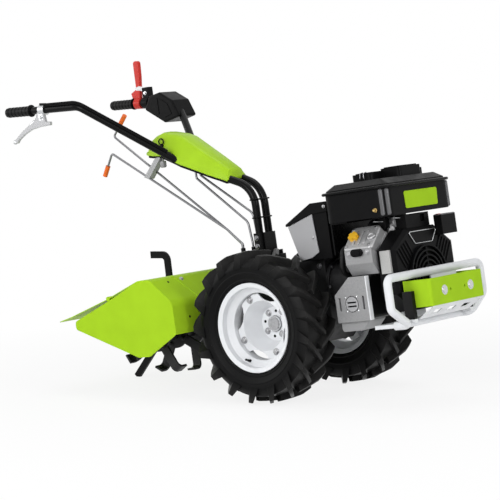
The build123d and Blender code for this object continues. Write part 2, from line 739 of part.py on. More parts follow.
def tiller_case():
    """The neck from the gearbox and the narrow case that carries the rotor."""
    neck_end = HOOD_RIDGE_FRONT_X + 20
    body = disc_x(TILLER_NECK_RADIUS, neck_end, GEARBOX_REAR, z=TILLER_NECK_Z)
    body += disc_x(TILLER_NECK_RADIUS + 22, GEARBOX_REAR - 16, GEARBOX_REAR, z=TILLER_NECK_Z)
    outline = [
        (neck_end + 20, TILLER_NECK_Z - 50),
        (neck_end + 20, TILLER_NECK_Z + 50),
        (ROTOR_X, TILLER_NECK_Z + 60),
        (ROTOR_X - 66, TILLER_NECK_Z + 44),
        (ROTOR_X - 66, ROTOR_Z),
        (ROTOR_X, ROTOR_Z - 66),
    ]
    body += side_prism(outline, -CASE_HALF_WIDTH, CASE_HALF_WIDTH)
    body += disc_y(70, -CASE_HALF_WIDTH, CASE_HALF_WIDTH, x=ROTOR_X, z=ROTOR_Z)
    post = box(HOOD_RIDGE_REAR_X + 10, HOOD_RIDGE_FRONT_X - 20, -30, 30, TILLER_NECK_Z, HOOD_TOP - SHEET / 2)
    body += post
    bore = ROTOR_SHAFT_RADIUS + RUNNING_FIT
    body -= disc_y(bore, -CASE_HALF_WIDTH, CASE_HALF_WIDTH, x=ROTOR_X, z=ROTOR_Z)
    return body


def rotor_shaft():
    end = TINE_FLANGE_PLACES[-1] + 20
    return disc_y(ROTOR_SHAFT_RADIUS, -end, end, x=ROTOR_X, z=ROTOR_Z)


def tine(y, hand):
    """One L-shaped blade on a flange at y, its foot turned to one hand."""
    foot_y = y + hand * TINE_FOOT
    points = [(y, TINE_FLANGE_RADIUS * 0.6), (y, TINE_RADIUS - 6), (foot_y, TINE_RADIUS - 6)]
    line = FilletPolyline(*points, radius=18)
    return extrude(Plane.YZ.offset(-TINE_WIDTH / 2) * trace(line, TINE_THICK), TINE_WIDTH)


def tine_set():
    """The sleeve on the right half of the rotor with its flanges and blades."""
    reel_end = TINE_FLANGE_PLACES[-1] + 12
    reel_start = TINE_FLANGE_PLACES[0] - 12
    reel = disc_y(ROTOR_SHAFT_RADIUS + 8, -reel_end, -reel_start)
    for row, place in enumerate(TINE_FLANGE_PLACES):
        reel += disc_y(TINE_FLANGE_RADIUS, -place - 5, -place + 5)
        for index in range(TINES_PER_FLANGE):
            hand = 1 if index % 2 else -1
            turn = 360 / TINES_PER_FLANGE * index + 30 * row
            reel += Rot(0, turn, 0) * tine(-place, hand)
    reel -= disc_y(ROTOR_SHAFT_RADIUS + FIT, -reel_end, -reel_start)
    return Pos(ROTOR_X, 0, ROTOR_Z) * reel


def hood_line():
    """The side view of the hood's folded cover, from its front foot to the flap's hinge."""
    return [
        (HOOD_FRONT_X, 8),
        (HOOD_FRONT_X, 129),
        (HOOD_RIDGE_FRONT_X, HOOD_TOP),
        (HOOD_RIDGE_REAR_X, HOOD_TOP),
        (HINGE_X + HINGE_KNUCKLE_RADIUS + 3, HINGE_Z + 3),
    ]


def hinge_knuckles(places, width):
    """Short sleeves round the hinge line at some places across the hood."""
    return [disc_y(HINGE_KNUCKLE_RADIUS, y - width / 2, y + width / 2, x=HINGE_X, z=HINGE_Z) for y in places]


def fixed_knuckles(places, width):
    """Knuckles with a short tab that joins them to the rear edge of the hood."""
    pieces = hinge_knuckles(places, width)
    tab_end = HINGE_X + HINGE_KNUCKLE_RADIUS + 7
    for y in places:
        pieces.append(box(HINGE_X, tab_end, y - width / 2, y + width / 2, HINGE_Z + 1, HINGE_Z + 6))
    return pieces


def hood_centre():
    """The middle of the hood, open in front for the neck and behind for the spur."""
    cover = bent_sheet(hood_line(), -HOOD_SEAM, HOOD_SEAM, bend=HOOD_BEND)
    room = TILLER_NECK_RADIUS + 8
    cover -= box(HOOD_RIDGE_FRONT_X + 10, HOOD_FRONT_X + 10, -room, room, 0, TILLER_NECK_Z + room)
    cover = cover.fuse(*fixed_knuckles((-150, 150), 40))
    cover += disc_y(HINGE_PIN_RADIUS, -HOOD_SEAM, -60, x=HINGE_X, z=HINGE_Z)
    cover += disc_y(HINGE_PIN_RADIUS, 60, HOOD_SEAM, x=HINGE_X, z=HINGE_Z)
    return cover


def hood_wing():
    """The right wing: a folded cover closed by a flat side panel."""
    cover = bent_sheet(hood_line(), -TILLER_HALF_WIDTH, -HOOD_SEAM - FIT, bend=HOOD_BEND)
    outline = [
        (HOOD_RIDGE_REAR_X, HOOD_TOP),
        (HOOD_RIDGE_FRONT_X, HOOD_TOP),
        (HOOD_FRONT_X, 129),
        (HOOD_FRONT_X, 8),
        (HOOD_RIDGE_REAR_X + 10, -66),
        (ROTOR_X - 25, -66),
        (HINGE_X - 191, 65),
        (HINGE_X - 190, 96),
        (HINGE_X, HINGE_Z - 10),
    ]
    panel = side_prism(outline, -TILLER_HALF_WIDTH, -TILLER_HALF_WIDTH + SHEET)
    corners = panel.edges().filter_by(Axis.Y)
    upper = [edge for edge in corners if edge.center().Z > 120 and edge.center().X > HINGE_X + 20]
    lower = [edge for edge in corners if edge.center().Z < 120]
    panel = fillet(lower, 14)
    upper_places = [edge.center() for edge in upper]
    upper = [edge for edge in panel.edges() if any((edge.center() - place).length < 0.1 for place in upper_places)]
    panel = fillet(upper, HOOD_BEND)
    wing = cover + panel
    wing = wing.fuse(*fixed_knuckles((-TILLER_HALF_WIDTH + 20,), 34))
    wing += disc_y(HINGE_PIN_RADIUS, -TILLER_HALF_WIDTH + 6, -HOOD_SEAM - FIT, x=HINGE_X, z=HINGE_Z)
    return wing


def rear_flap():
    """The hinged rear flap with a flatter lip and a slot for the spur."""
    half = TILLER_HALF_WIDTH - 8
    line = [(HINGE_X, HINGE_Z), FLAP_KINK, FLAP_TIP]
    flap = bent_sheet(line, -half, half, bend=60)
    flap = flap.fuse(*hinge_knuckles((-260, 260), 90), *hinge_knuckles((-90, 90), 40))
    reach = HINGE_KNUCKLE_RADIUS + 6
    for place, width in ((-150, 40), (150, 40), (-TILLER_HALF_WIDTH + 20, 34), (TILLER_HALF_WIDTH - 20, 34)):
        half_gap = width / 2 + 4
        flap -= box(HINGE_X - reach, HINGE_X + reach, place - half_gap, place + half_gap,
                    HINGE_Z - 30, HINGE_Z + 30)
    flap -= box(HINGE_X - 78, HINGE_X + 20, -34, 34, HINGE_Z - 60, HINGE_Z + 30)
    bore = HINGE_PIN_RADIUS + RUNNING_FIT
    flap -= disc_y(bore, -TILLER_HALF_WIDTH, TILLER_HALF_WIDTH, x=HINGE_X, z=HINGE_Z)
    return flap


def spur_points():
    return [
        (HINGE_X - 112, 0, 312),
        (HINGE_X - 28, 0, 304),
        (HINGE_X - 33, 0, 150),
        (HINGE_X - 126, 0, -30),
        (SPUR_TIP_X, 0, SPUR_TIP_Z),
    ]


def spur_bar(play=0):
    """A flat bar along the spur's line, with some play all round."""
    path = FilletPolyline(*spur_points(), radius=[26, 90, 90])
    flat = Rectangle(SPUR_THICK + 2 * play, SPUR_DEPTH + 2 * play)
    stretches = []
    for edge in path.edges():
        section = Plane(edge @ 0, x_dir=(0, 1, 0), z_dir=edge % 0) * flat
        stretches.append(sweep(section, path=edge))
    return stretches[0].fuse(*stretches[1:])


def spur():
    """A curved flat bar with a bent handle; its foot is cut level with the floor."""
    below = box(-2000, 2000, -50, 50, -TYRE_RADIUS - 200, -TYRE_RADIUS)
    return spur_bar() - Rot(0, nose_up(), 0) * below


def spur_holder():
    """A socket behind the case that the spur is pinned in."""
    rear = HINGE_X - 60
    front = ROTOR_X - 66
    holder = box(rear, front, -16, 16, 92, 128)
    return holder - spur_bar(FIT)


# Column, handlebar and controls


def handle_points(side):
    """The line of one handle: up the column, back under the console and out to the grip."""
    return [
        (COLUMN_X, side * COLUMN_SPREAD / 2, SWIVEL_BOTTOM + SWIVEL_THICK + FIT),
        (COLUMN_X, side * COLUMN_SPREAD / 2, COLUMN_BEND_HEIGHT),
        (CONSOLE_TUBE_X, side * CONSOLE_TUBE_Y, CONSOLE_TUBE_Z),
        (HANDLE_BEND_X, side * HANDLE_BEND_Y, HANDLE_BEND_Z),
        (GRIP_END_X, side * GRIP_Y, GRIP_Z),
    ]


HANDLE_BENDS = [105.0, 70.0, 45.0]


def handle_tube(side, diameter=TUBE_DIAMETER):
    return rod(handle_points(side), diameter, HANDLE_BENDS)


def column_base():
    """The swivel plate with two sockets that clamp the column's tubes."""
    top = SWIVEL_BOTTOM + SWIVEL_THICK
    base = disc_z(SWIVEL_RADIUS, SWIVEL_BOTTOM, top, x=COLUMN_X)
    half_y = COLUMN_SPREAD / 2 + TUBE_DIAMETER / 2 + 7
    socket = box(COLUMN_X - 24, COLUMN_X + 24, -half_y, half_y, top, SOCKET_TOP)
    base += fillet(socket.edges().filter_by(Axis.Z), 20)
    base -= disc_z(PIVOT_PIN_RADIUS + RUNNING_FIT, SWIVEL_BOTTOM, top - 2, x=COLUMN_X)
    for side in (-1, 1):
        base -= disc_z(TUBE_DIAMETER / 2 + FIT, top, SOCKET_TOP, x=COLUMN_X, y=side * COLUMN_SPREAD / 2)
    base += box(COLUMN_X - 92, COLUMN_X - 30, -78, 18, SWIVEL_BOTTOM + 7, top)
    for line in gear_rod_lines() + short_rod_lines():
        x, y, z = line[-1]
        base += disc_z(ROD_DIAMETER - 1, SWIVEL_BOTTOM + 7, z - FIT, x=x, y=y)
    return base


def console_outline(inset):
    """The side view of the console, drawn in by an inset at the top and ends."""
    return [
        (-250 - inset, COLUMN_BEND_HEIGHT + 42),
        (-246 - inset, COLUMN_BEND_HEIGHT + 88 - inset),
        (-454, CONSOLE_TUBE_Z + 97 - inset),
        (-555, CONSOLE_TUBE_Z + 128 - inset),
        (-630 + inset, CONSOLE_TUBE_Z + 110 - inset),
        (-658 + inset, CONSOLE_TUBE_Z + 78),
        (-640 + inset, CONSOLE_TUBE_Z + 45),
    ]


def console_plan(inset):
    """The plan of the console: narrow over the column and wide at the rear."""
    return [
        (-240, -40 + inset),
        (-560, -64 + inset),
        (-670, -56 + inset),
        (-670, 56 - inset),
        (-560, 64 - inset),
        (-240, 40 - inset),
    ]


def console_form(inset):
    """The console as a solid, its upper edges rounded, drawn in by an inset."""
    side_view = side_prism(console_outline(inset), -100, 100)
    plan = extrude(make_face(Polyline(*console_plan(inset), close=True)), 1000)
    form = side_view & plan
    bottom = min(form.faces(), key=lambda face: face.normal_at().Z)
    rims = []
    for edge in form.edges():
        along = edge.tangent_at(0.5)
        low = any(edge.is_same(other) for other in bottom.edges())
        if not low and abs(along.Y) < 0.5 and abs(along.Z) < 0.99:
            rims.append(edge)
    return fillet(rims, CONSOLE_ROUND - inset)


def console_cover():
    """A moulded cover over the tubes, open below."""
    cover = console_form(0)
    cover -= console_form(CONSOLE_WALL)
    below = [
        (-200, 0),
        (-200, COLUMN_BEND_HEIGHT + 38),
        (-550, CONSOLE_TUBE_Z + 31),
        (-700, CONSOLE_TUBE_Z + 40),
        (-700, 0),
    ]
    cover -= side_prism(below, -100, 100)
    for side in (-1, 1):
        cover -= handle_tube(side, TUBE_DIAMETER + 2 * FIT)
    return cover


def console_tray_point(x, depth):
    """A side-view point under the tubes at x, some depth below the tray's upper face."""
    slope = (CONSOLE_TUBE_Z - COLUMN_BEND_HEIGHT) / (CONSOLE_TUBE_X - COLUMN_X)
    drop = TUBE_DIAMETER / 2 * hypot(1, slope) + FIT
    return (x, COLUMN_BEND_HEIGHT + (x - COLUMN_X) * slope - drop - depth)


def console_tray():
    """The channel under the tubes that carries the cover."""
    front, rear = -262.0, -470.0
    upper = [console_tray_point(front, 0), console_tray_point(rear, 0)]
    lower = [console_tray_point(rear, TRAY_THICK), console_tray_point(front, TRAY_THICK)]
    return side_prism(upper + lower, -44, 44)


def grip(side):
    """A ribbed sleeve on the end of one handle."""
    start = Vector(*handle_points(side)[3])
    end = Vector(*handle_points(side)[4])
    along = (end - start).normalized()
    first = end - along * (GRIP_LENGTH - 6)
    last = end + along * 6
    sleeve = rod([first, last], GRIP_DIAMETER)
    sleeve -= rod([first, end + along * FIT], TUBE_DIAMETER + 2 * FIT)
    return sleeve


def on_handle(side, distance):
    """A plane across one handle at a distance from the end of its grip."""
    start = Vector(*handle_points(side)[3])
    end = Vector(*handle_points(side)[4])
    along = (start - end).normalized()
    return Plane(end + along * distance, x_dir=(0, 1, 0), z_dir=along)


def clamp(side, distance, length, radius):
    """A ring that grips one handle."""
    ring = on_handle(side, distance) * (Circle(radius) - Circle(TUBE_DIAMETER / 2 + FIT))
    return extrude(ring, length)


def hand_lever():
    """The silver lever below the right grip, with its perch."""
    perch = clamp(-1, 176, 30, 22)
    y = -GRIP_Y
    perch += box(-962, -938, y - 8, y + 8, 905, 930)
    blade = rod([(-950, y, 912), (-1000, y, 905), (-1124, y, 838)], 13, 60)
    return perch + blade


def stop_lever():
    """The red lever that stands up from the left handle."""
    ring = clamp(1, 140, 34, 23)
    outline = [(-1012, 972), (-970, 966), (-966, 1000), (-957, 1060), (-953, 1126), (-984, 1129), (-986, 1010), (-1018, 996)]
    blade = side_prism(outline, GRIP_Y - 9, GRIP_Y + 9)
    blade = fillet(blade.edges().filter_by(Axis.Y).sort_by(Axis.Z)[-2:], 12)
    blade = fillet(blade.edges().filter_by(lambda edge: abs(edge.tangent_at(0.5).Y) < 0.5), 3)
    return ring + blade - handle_tube(1, TUBE_DIAMETER + 2 * FIT)


def throttle_perch():
    """The small black perch and lever ahead of the stop lever."""
    ring = clamp(1, 186, 34, 24)
    ring += box(-946, -914, GRIP_Y - 16, GRIP_Y + 16, 962, 1010)
    return ring


def control_box():
    """The instrument housing clamped round the bend of the left handle."""
    outline = [(-865, 909), (-831, 962), (-773, 970), (-708, 928), (-677, 857), (-764, 842)]
    shape = side_prism(outline, HANDLE_BEND_Y - 88, HANDLE_BEND_Y + 22)
    shape = fillet(shape.edges(), 8)
    return shape - handle_tube(1, TUBE_DIAMETER + 2 * FIT)


ROD_Y = (-66.0, -46.0)
SHORT_ROD_Y = (-24.0, 2.0)
ROD_END_Z = SWIVEL_BOTTOM + 40.0


def gear_rod_lines():
    """The lines of the two long control rods, each from its knob down to the gearbox."""
    low = ROD_END_Z
    first = [(-858, 692), (-827, 739), (-274, 372), (-205, low + 16), (-205, low)]
    second = [(-778, 850), (-822, 806), (-292, 372), (-225, low + 16), (-225, low)]
    return [[(x, y, z) for x, z in line] for y, line in zip(ROD_Y, (first, second))]


def short_rod_lines():
    """The lines of the two rods that start under the console's tray."""
    low = ROD_END_Z
    start_x = -430.0
    tray = console_tray_point(start_x + ROD_DIAMETER / 2, TRAY_THICK + FIT)[1]
    first = [(start_x, tray), (start_x, tray - 30), (-199, 389), (-190, low + 16), (-190, low)]
    second = [(start_x, tray), (start_x, tray - 20), (-190, 420), (-182, low + 16), (-182, low)]
    return [[(x, y, z) for x, z in line] for y, line in zip(SHORT_ROD_Y, (first, second))]


def gear_rods():
    """Two long rods from the knobs and two short ones from the console, all ending on the column's base."""
    lines = gear_rod_lines() + short_rod_lines()
    return [rod(line, ROD_DIAMETER, [10, 40, 10]) for line in lines]


def rod_knobs():
    """A plain knob on the upper end of each control rod."""
    knobs = []
    for line in gear_rod_lines():
        end = Vector(*line[0])
        along = (end - Vector(*line[1])).normalized()
        knobs.append(rod([end, end + along * KNOB_LENGTH], KNOB_DIAMETER))
    return knobs


def rod_bracket():
    """The plate under the console that guides both control rods."""
    top = 691.0
    plate = side_prism([(-560, top), (-590, top), (-664, 622), (-640, 612)], ROD_Y[0] - 6, ROD_Y[1] + 6)
    for line in gear_rod_lines():
        plate -= rod(line, ROD_DIAMETER + 2 * FIT, [10, 40, 10])
    return plate


def control_cables():
    """Two cables that run on top of the right handle, from the lever's clamp to the console."""
    low = TUBE_DIAMETER / 2 + FIT + CABLE_DIAMETER / 2
    return [cable_over_handle(low), cable_over_handle(low + CABLE_DIAMETER + FIT)]


def cable_over_handle(lift):
    """One cable along the right handle, its middle lifted above the middle of the tube."""
    first, bend, last = [Vector(*point) for point in handle_points(-1)[:1:-1]]
    rear = (bend - first).normalized()
    front = (last - bend).normalized()
    side = rear.cross(front).normalized()
    above_rear = rear.cross(side) * lift
    above_front = front.cross(side) * lift
    both = above_rear + above_front
    corner = bend + both * (2 * lift**2 / both.length**2)
    start = first + rear * CABLE_START + above_rear
    end = last - front * CABLE_END + above_front
    return rod([start, corner, end], CABLE_DIAMETER, HANDLE_BENDS[2] + lift)


def all_nodes():
    nodes = wheel_nodes()
    nodes["gearbox"] = gearbox()
    nodes["clutch_bell"] = clutch_bell()
    nodes["engine_block"] = engine_block()
    for side, name in ((-1, "right"), (1, "left")):
        nodes[name + "_cylinder"] = cylinder(side)
        nodes[name + "_valve_cover"] = valve_cover(side)
        nodes[name + "_handle_tube"] = handle_tube(side)
        nodes[name + "_grip"] = grip(side)
    makers = [
        oil_cap, carburettor, blower_housing, shroud_plates, fan_screen, fuel_tank, tank_top,
        air_cleaner, tank_stand, muffler, muffler_guard, muffler_outlet, battery_box, electrical_box,
        bumper, front_plate, skid_plate, tiller_case, rotor_shaft, hood_centre, rear_flap, spur,
        spur_holder, column_base, console_cover, console_tray, hand_lever, stop_lever,
        throttle_perch, control_box, gear_rods, rod_knobs, rod_bracket, head_shields, breather_hose,
        battery_plates, control_cables,
    ]
    for make in makers:
        nodes[make.__name__] = make()
    right_tines = tine_set()
    nodes["right_tines"] = right_tines
    nodes["left_tines"] = mirrored(right_tines)
    wing = hood_wing()
    nodes["right_hood_wing"] = wing
    nodes["left_hood_wing"] = mirrored(wing)
    return nodes


def nose_up():
    """The angle at which the wheels and the spur's tip stand on one floor."""
    reach = hypot(SPUR_TIP_X, SPUR_TIP_Z)
    return degrees(asin(TYRE_RADIUS / reach) - atan2(-SPUR_TIP_Z, -SPUR_TIP_X))


def parked(nodes):
    """Tips the machine nose up on its spur and sets the origin under its middle."""
    tip = Rot(0, -nose_up(), 0)
    solids = {name: as_list(shape) for name, shape in nodes.items()}
    tipped = {name: [tip * piece for piece in pieces] for name, pieces in solids.items()}
    boxes = [piece.bounding_box() for pieces in tipped.values() for piece in pieces]
    middle_x = (min(b.min.X for b in boxes) + max(b.max.X for b in boxes)) / 2
    floor = min(b.min.Z for b in boxes)
    shift = Pos(-middle_x, 0, -floor)
    print("nose up", nose_up(), "middle", middle_x, "floor", floor)
    return {name: [shift * piece for piece in pieces] for name, pieces in tipped.items()}


def as_list(shape):
    return list(shape) if isinstance(shape, list) else [shape]


def main():
    os.makedirs("parts", exist_ok=True)
    for name, pieces in parked(all_nodes()).items():
        shape = pieces[0] if len(pieces) == 1 else Compound(pieces)
        export_step(shape, f"parts/{name}.step")


main()
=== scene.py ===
"""The looks of the walking tractor: materials, tyres, fittings, lights and the photograph's camera."""

import json
from math import atan2, cos, pi, radians, sin, sqrt, tan

import bmesh
import bpy
from mathutils import Matrix, Vector


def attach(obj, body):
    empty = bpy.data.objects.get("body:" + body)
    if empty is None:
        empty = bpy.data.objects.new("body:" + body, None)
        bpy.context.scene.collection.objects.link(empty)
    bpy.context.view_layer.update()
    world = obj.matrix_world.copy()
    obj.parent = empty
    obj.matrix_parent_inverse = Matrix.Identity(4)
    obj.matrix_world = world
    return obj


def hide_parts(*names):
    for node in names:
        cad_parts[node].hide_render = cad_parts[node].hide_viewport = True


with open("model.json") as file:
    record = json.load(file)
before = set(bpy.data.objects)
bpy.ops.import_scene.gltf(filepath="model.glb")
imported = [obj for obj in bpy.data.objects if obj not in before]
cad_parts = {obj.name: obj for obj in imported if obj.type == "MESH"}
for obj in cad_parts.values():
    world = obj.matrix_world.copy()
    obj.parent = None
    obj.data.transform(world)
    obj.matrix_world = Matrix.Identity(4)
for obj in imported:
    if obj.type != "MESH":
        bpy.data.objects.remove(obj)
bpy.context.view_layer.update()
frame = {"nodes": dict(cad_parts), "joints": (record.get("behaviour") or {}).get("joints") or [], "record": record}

# Machine frame: millimetres from the axle's middle, level with the gearbox, X forward, Y left, Z up;
# a side is -1 on the right and 1 on the left

JOINTS = {joint["name"]: joint for joint in frame["joints"]}
AXLE = Vector(JOINTS["right_wheel_spin"]["pos_m"])
AXLE.y = 0
COLUMN_AXIS = Vector(JOINTS["handlebar_swing"]["axis"])
NOSE_UP = atan2(-COLUMN_AXIS.x, COLUMN_AXIS.z)
MILLIMETRE = 0.001
MACHINE = Matrix.Translation(AXLE) @ Matrix.Rotation(-NOSE_UP, 4, "Y") @ Matrix.Scale(MILLIMETRE, 4)
FORWARD = Vector((1, 0, 0))
LEFT = Vector((0, 1, 0))
UP = Vector((0, 0, 1))
SIDES = (-1, 1)

# Camera, in metres from the axle's middle in the row frame

CAMERA_PLACE = AXLE + Vector((4.6597, -5.8253, 0.9579))
CAMERA_AIM = AXLE + Vector((-0.2617, 0.0, 0.2504))
CAMERA_ROLL = radians(-2.81)
CAMERA_LENS = 142.4
SENSOR_WIDTH = 36.0

# Wheels; these sizes and all others of the machine are in machine millimetres

HALF_TRACK = 253.0
TYRE_RADIUS = 285.0
TYRE_HALF_WIDTH = 82.5
CROWN_RADIUS = 261.0
LUG_COUNT = 17
LUG_START = radians(92.5)
LUG_HALF_WIDTH = 17.0
LUG_WIDENING = 0.1
LUG_LEAN = -95.0
LUG_TAPER = radians(9)
LUG_ROOT = 227.0
LUG_INNER_END = -10.0
LUG_LINE_END = TYRE_HALF_WIDTH + 20
LUG_FALL_REACH = 24.0
LUG_FALL_START = TYRE_HALF_WIDTH - LUG_FALL_REACH
LUG_END_FALL = 8.0
LUG_FOOT_DEPTH = 12.0
LUG_FOOT_FALL = 1.1
LUG_STATIONS = (LUG_INNER_END, 12, 35, LUG_FALL_START, TYRE_HALF_WIDTH - 10, TYRE_HALF_WIDTH)
WHEEL_BOLTS = 4
WHEEL_BOLT_STEP = 360 / WHEEL_BOLTS
LOBE_RADIUS = 110.0
LOBE_TURN = 25.0
LOBE_FACE = HALF_TRACK + 2.5
LOBE_BOLT = 19
HUB_BOLT_RADIUS = 48.0
HUB_BOLT_TURN = 32.0
HUB_BOLT = 18
HUB_FACE = HALF_TRACK - 69.5
CAP_FACE = HALF_TRACK - 60.5
VALVE_RADIUS = 141.0
VALVE_TURN = -118.0
VALVE_SEAT = HALF_TRACK + 24
VALVE_LEAN = 0.35
# Radii over which the lugs take a painted sheen, a lighter grey standing in for their highlight
SHEEN_START, SHEEN_FULL = TYRE_RADIUS - 56, TYRE_RADIUS - 20

# Engine and gearbox

CRANK_HEIGHT = 110.0
CYLINDER_X = 440.0
COVER_FLANGE_SEAT = 186.0
COVER_TOP = 233.0
COVER_RIBS = (-24, 0, 24)
COVER_RIB_HALF = 5
COWL_FRONT = 588.0
SHIELD_SIDE = 218.0
BREATHER_DEPTH = 11
THROAT = Vector((478, -64, 316))
BOWL_FOOT = Vector((503, -64, 272))
INTAKE_HEIGHT = 318
BOX_RIM_HEIGHT = 318
GUARD_SIDE = 215.0
OUTLET = Vector((394.0, -GUARD_SIDE, 44.0))
OUTLET_RIVET_RADIUS = 36
OUTLET_SLOTS = (36, 50)
SLOT_HALF_LENGTH = 19.5
SLOT_HALF_HEIGHT = 2.7
GEARBOX_SIDE = 95
GEARBOX_UPPER_BOLTS = ((-150, 190), (-60, 194), (60, 194), (175, 190))
GEARBOX_LOWER_BOLTS = ((178, 60), (150, -20), (60, -74), (-100, -60))
BELL_REAR_FACE, BELL_FRONT_FACE = 214, 286
BELL_BOLT_RADIUS = 99
NECK_FACE = -191
NECK_HEIGHT = 90
NECK_BOLT_RADIUS = 67

# Tank, battery and front plate

TANK_REAR, TANK_FRONT = 313.0, 597.0
TANK_HALF_WIDTH = 204.0
TANK_CORNER = 40.0
TANK_SEAM = 442.0
TANK_LIP = 8.0
TANK_CROWN = 476.0
TANK_RIB_TURNS = (30, 62)
FILTER_LID_DEPTH = 3.5
FILTER_CLIPS = (420, 436)
BATTERY_SIDE = 150.0
PLATE_FRONT = 710.0
PLATE_MIDDLE = 54.5
PLATE_BOLT_SIDE = 82

# Handlebar; a console station is an x, the half widths at foot and crown, the lower edge and the top

HANDLE_BEND = Vector((-757.0, 290.0, 931.0))
HANDLE_END = Vector((-1134.0, 306.0, 961.0))
GRIP_RADIUS = 18.5
GRIP_LENGTH = 129.0
GRIP_RIBS = 6
GRIP_RIB_STEP = 19
CONTROL_BOX_FACE = HANDLE_BEND.y - 88
CONSOLE_STATIONS = (
    (-240, 54, 34, 561, 590), (-247, 60, 39, 554, 606), (-320, 67, 44, 584, 660), (-400, 75, 47, 620, 718),
    (-454, 80, 49, 644, 757), (-490, 80, 50, 663, 772), (-555, 73, 48, 692, 788), (-600, 67, 44, 697, 779),
    (-636, 58, 38, 703, 764), (-656, 48, 30, 710, 742),
)
CONSOLE_WALL = 4
COLUMN_X = -146.0
SOCKET_SIDE = 50.0
SOCKET_BOLTS = (290, 322)
COLUMN_BANDS = (400, 470)

# Tiller

ROTOR = Vector((-490.0, 0.0, 5.0))
TINE_FLANGES = (106.0, 207.0, 308.0)
TINES_ON_FLANGE = 4
TINE_STAGGER = 30
TINE_BOLT_RADIUS = 49
TINE_FACE = 5
HOOD_FRONT = -307
HOOD_FRONT_TOP = 130
HOOD_RIDGE = -409.5
HOOD_TOP = 225.5
HOOD_SEAM = 240.0
HOOD_SEAM_LEAN = 28
HOOD_SLOPE = Vector((0.68, 0, 0.73))
SPUR_PIN = Vector((-664, 0, 110))

# Sizes in the materials, in metres

CLOUD_SIZE = 0.07
GLOSS_PATCH = 0.025
PEEL_SIZE = 0.005
PEEL_DEPTH = 0.00004
PLASTIC_GRAIN_SIZE = 0.0012
RUBBER_GRAIN_SIZE = 0.002
RUBBER_GRAIN_DEPTH = 0.00012
CASTING_GRAIN_SIZE = 0.0022
STREAK_SIZE = 0.0015
STREAK_DEPTH = 0.000008
STREAK_SHARES = (1.0, 1.0, 0.08)
BEVEL_SAMPLES = 8

# Colours, and the boxes of the machine that take a second colour, black, as painted shade

LIME = (0.37, 0.61, 0.02)
WHITE = (0.79, 0.80, 0.82)
BLACK = (0.004, 0.004, 0.0043)
CASTING_BLACK = (0.016, 0.016, 0.017)
TILLER_BLACK = (0.012, 0.012, 0.013)
BLADE_BLACK = (0.014, 0.014, 0.015)
# The lugs' painted sheen, lighter than the tyre's black in place of their highlight
TREAD_SHEEN = (0.02, 0.0197, 0.0193)
GRIP_DUST = (0.01, 0.01, 0.01)
CASTING_GREY = (0.5, 0.5, 0.505)
ALLOY_GREY = (0.46, 0.46, 0.47)
ROUGH_ALLOY_GREY = (0.46, 0.46, 0.45)
GUARD_GREY = (0.33, 0.33, 0.335)
PLATE_GREY = (0.40, 0.40, 0.41)
# Lighter than the tank's black; on the tank's ribs it is partly a painted highlight of the rounded corners
RIB_GREY = (0.09, 0.09, 0.095)
BRIGHT_STEEL = (0.60, 0.61, 0.62)
BOLT_STEEL = (0.42, 0.42, 0.43)
DARK_STEEL = (0.22, 0.22, 0.23)
BRASS = (0.62, 0.43, 0.16)
YELLOW = (0.83, 0.47, 0.03)
ORANGE = (0.80, 0.15, 0.02)
RED = (0.58, 0.03, 0.02)
# The bumper's brackets behind the front plate: painted black as painted shade
BUMPER_BRACKET_SHADE = ((590, 642), (150, 186.5), (-33, 80))
# The front wall of the muffler's guard: painted black as painted shade
MUFFLER_FRONT_SHADE = ((452, 480), (0, 230), (-21, 150))

# Stage, in metres

FLOOR_SIZE = 60
FLOOR_NEAR = 0.8
FLOOR_CLEAR = 2.4
NEAR_WHITE = 0.84
FLOOR_COLOUR = (0.93, 0.93, 0.93, 1)
SKY_GREY = (0.36, 0.365, 0.37)

# Steps that materials are made of


def shader(name, specular, metallic=0.0):
    """A new material with its node tree, its surface shader and a texture coordinate in metres."""
    material = bpy.data.materials.new(name)
    material.use_nodes = True
    nodes = material.node_tree.nodes
    surface = nodes["Principled BSDF"]
    surface.inputs["Specular IOR Level"].default_value = specular
    surface.inputs["Metallic"].default_value = metallic
    coordinate = nodes.new("ShaderNodeTexCoord")
    return material, material.node_tree, surface, coordinate.outputs["Object"]


def noise(tree, coordinate, size, detail=4.0):
    """A noise texture whose patches are about size metres across."""
    node = tree.nodes.new("ShaderNodeTexNoise")
    node.inputs["Scale"].default_value = 1.0 / size
    node.inputs["Detail"].default_value = detail
    tree.links.new(coordinate, node.inputs["Vector"])
    return node.outputs["Fac"]


def stretched(tree, coordinate, shares):
    """The coordinate with each axis slowed or quickened, for streaks."""
    node = tree.nodes.new("ShaderNodeMapping")
    node.inputs["Scale"].default_value = shares
    tree.links.new(coordinate, node.inputs["Vector"])
    return node.outputs["Vector"]


def ranged(tree, value, low, high, start=0.3, end=0.7):
    """A value between start and end spread between low and high."""
    node = tree.nodes.new("ShaderNodeMapRange")
    node.inputs["From Min"].default_value = start
    node.inputs["From Max"].default_value = end
    node.inputs["To Min"].default_value = low
    node.inputs["To Max"].default_value = high
    tree.links.new(value, node.inputs["Value"])
    return node.outputs["Result"]


def mixed(tree, factor, first, second):
    """A colour between first and second."""
    node = tree.nodes.new("ShaderNodeMix")
    node.data_type = "RGBA"
    node.inputs["A"].default_value = (*first, 1)
    node.inputs["B"].default_value = (*second, 1)
    tree.links.new(factor, node.inputs["Factor"])
    return node.outputs["Result"]


def between(tree, value, low, high):
    """1 where a value lies between low and high, otherwise 0."""
    node = tree.nodes.new("ShaderNodeMath")
    node.operation = "COMPARE"
    node.inputs[1].default_value = (low + high) / 2
    node.inputs[2].default_value = (high - low) / 2
    tree.links.new(value, node.inputs[0])
    return node.outputs[0]


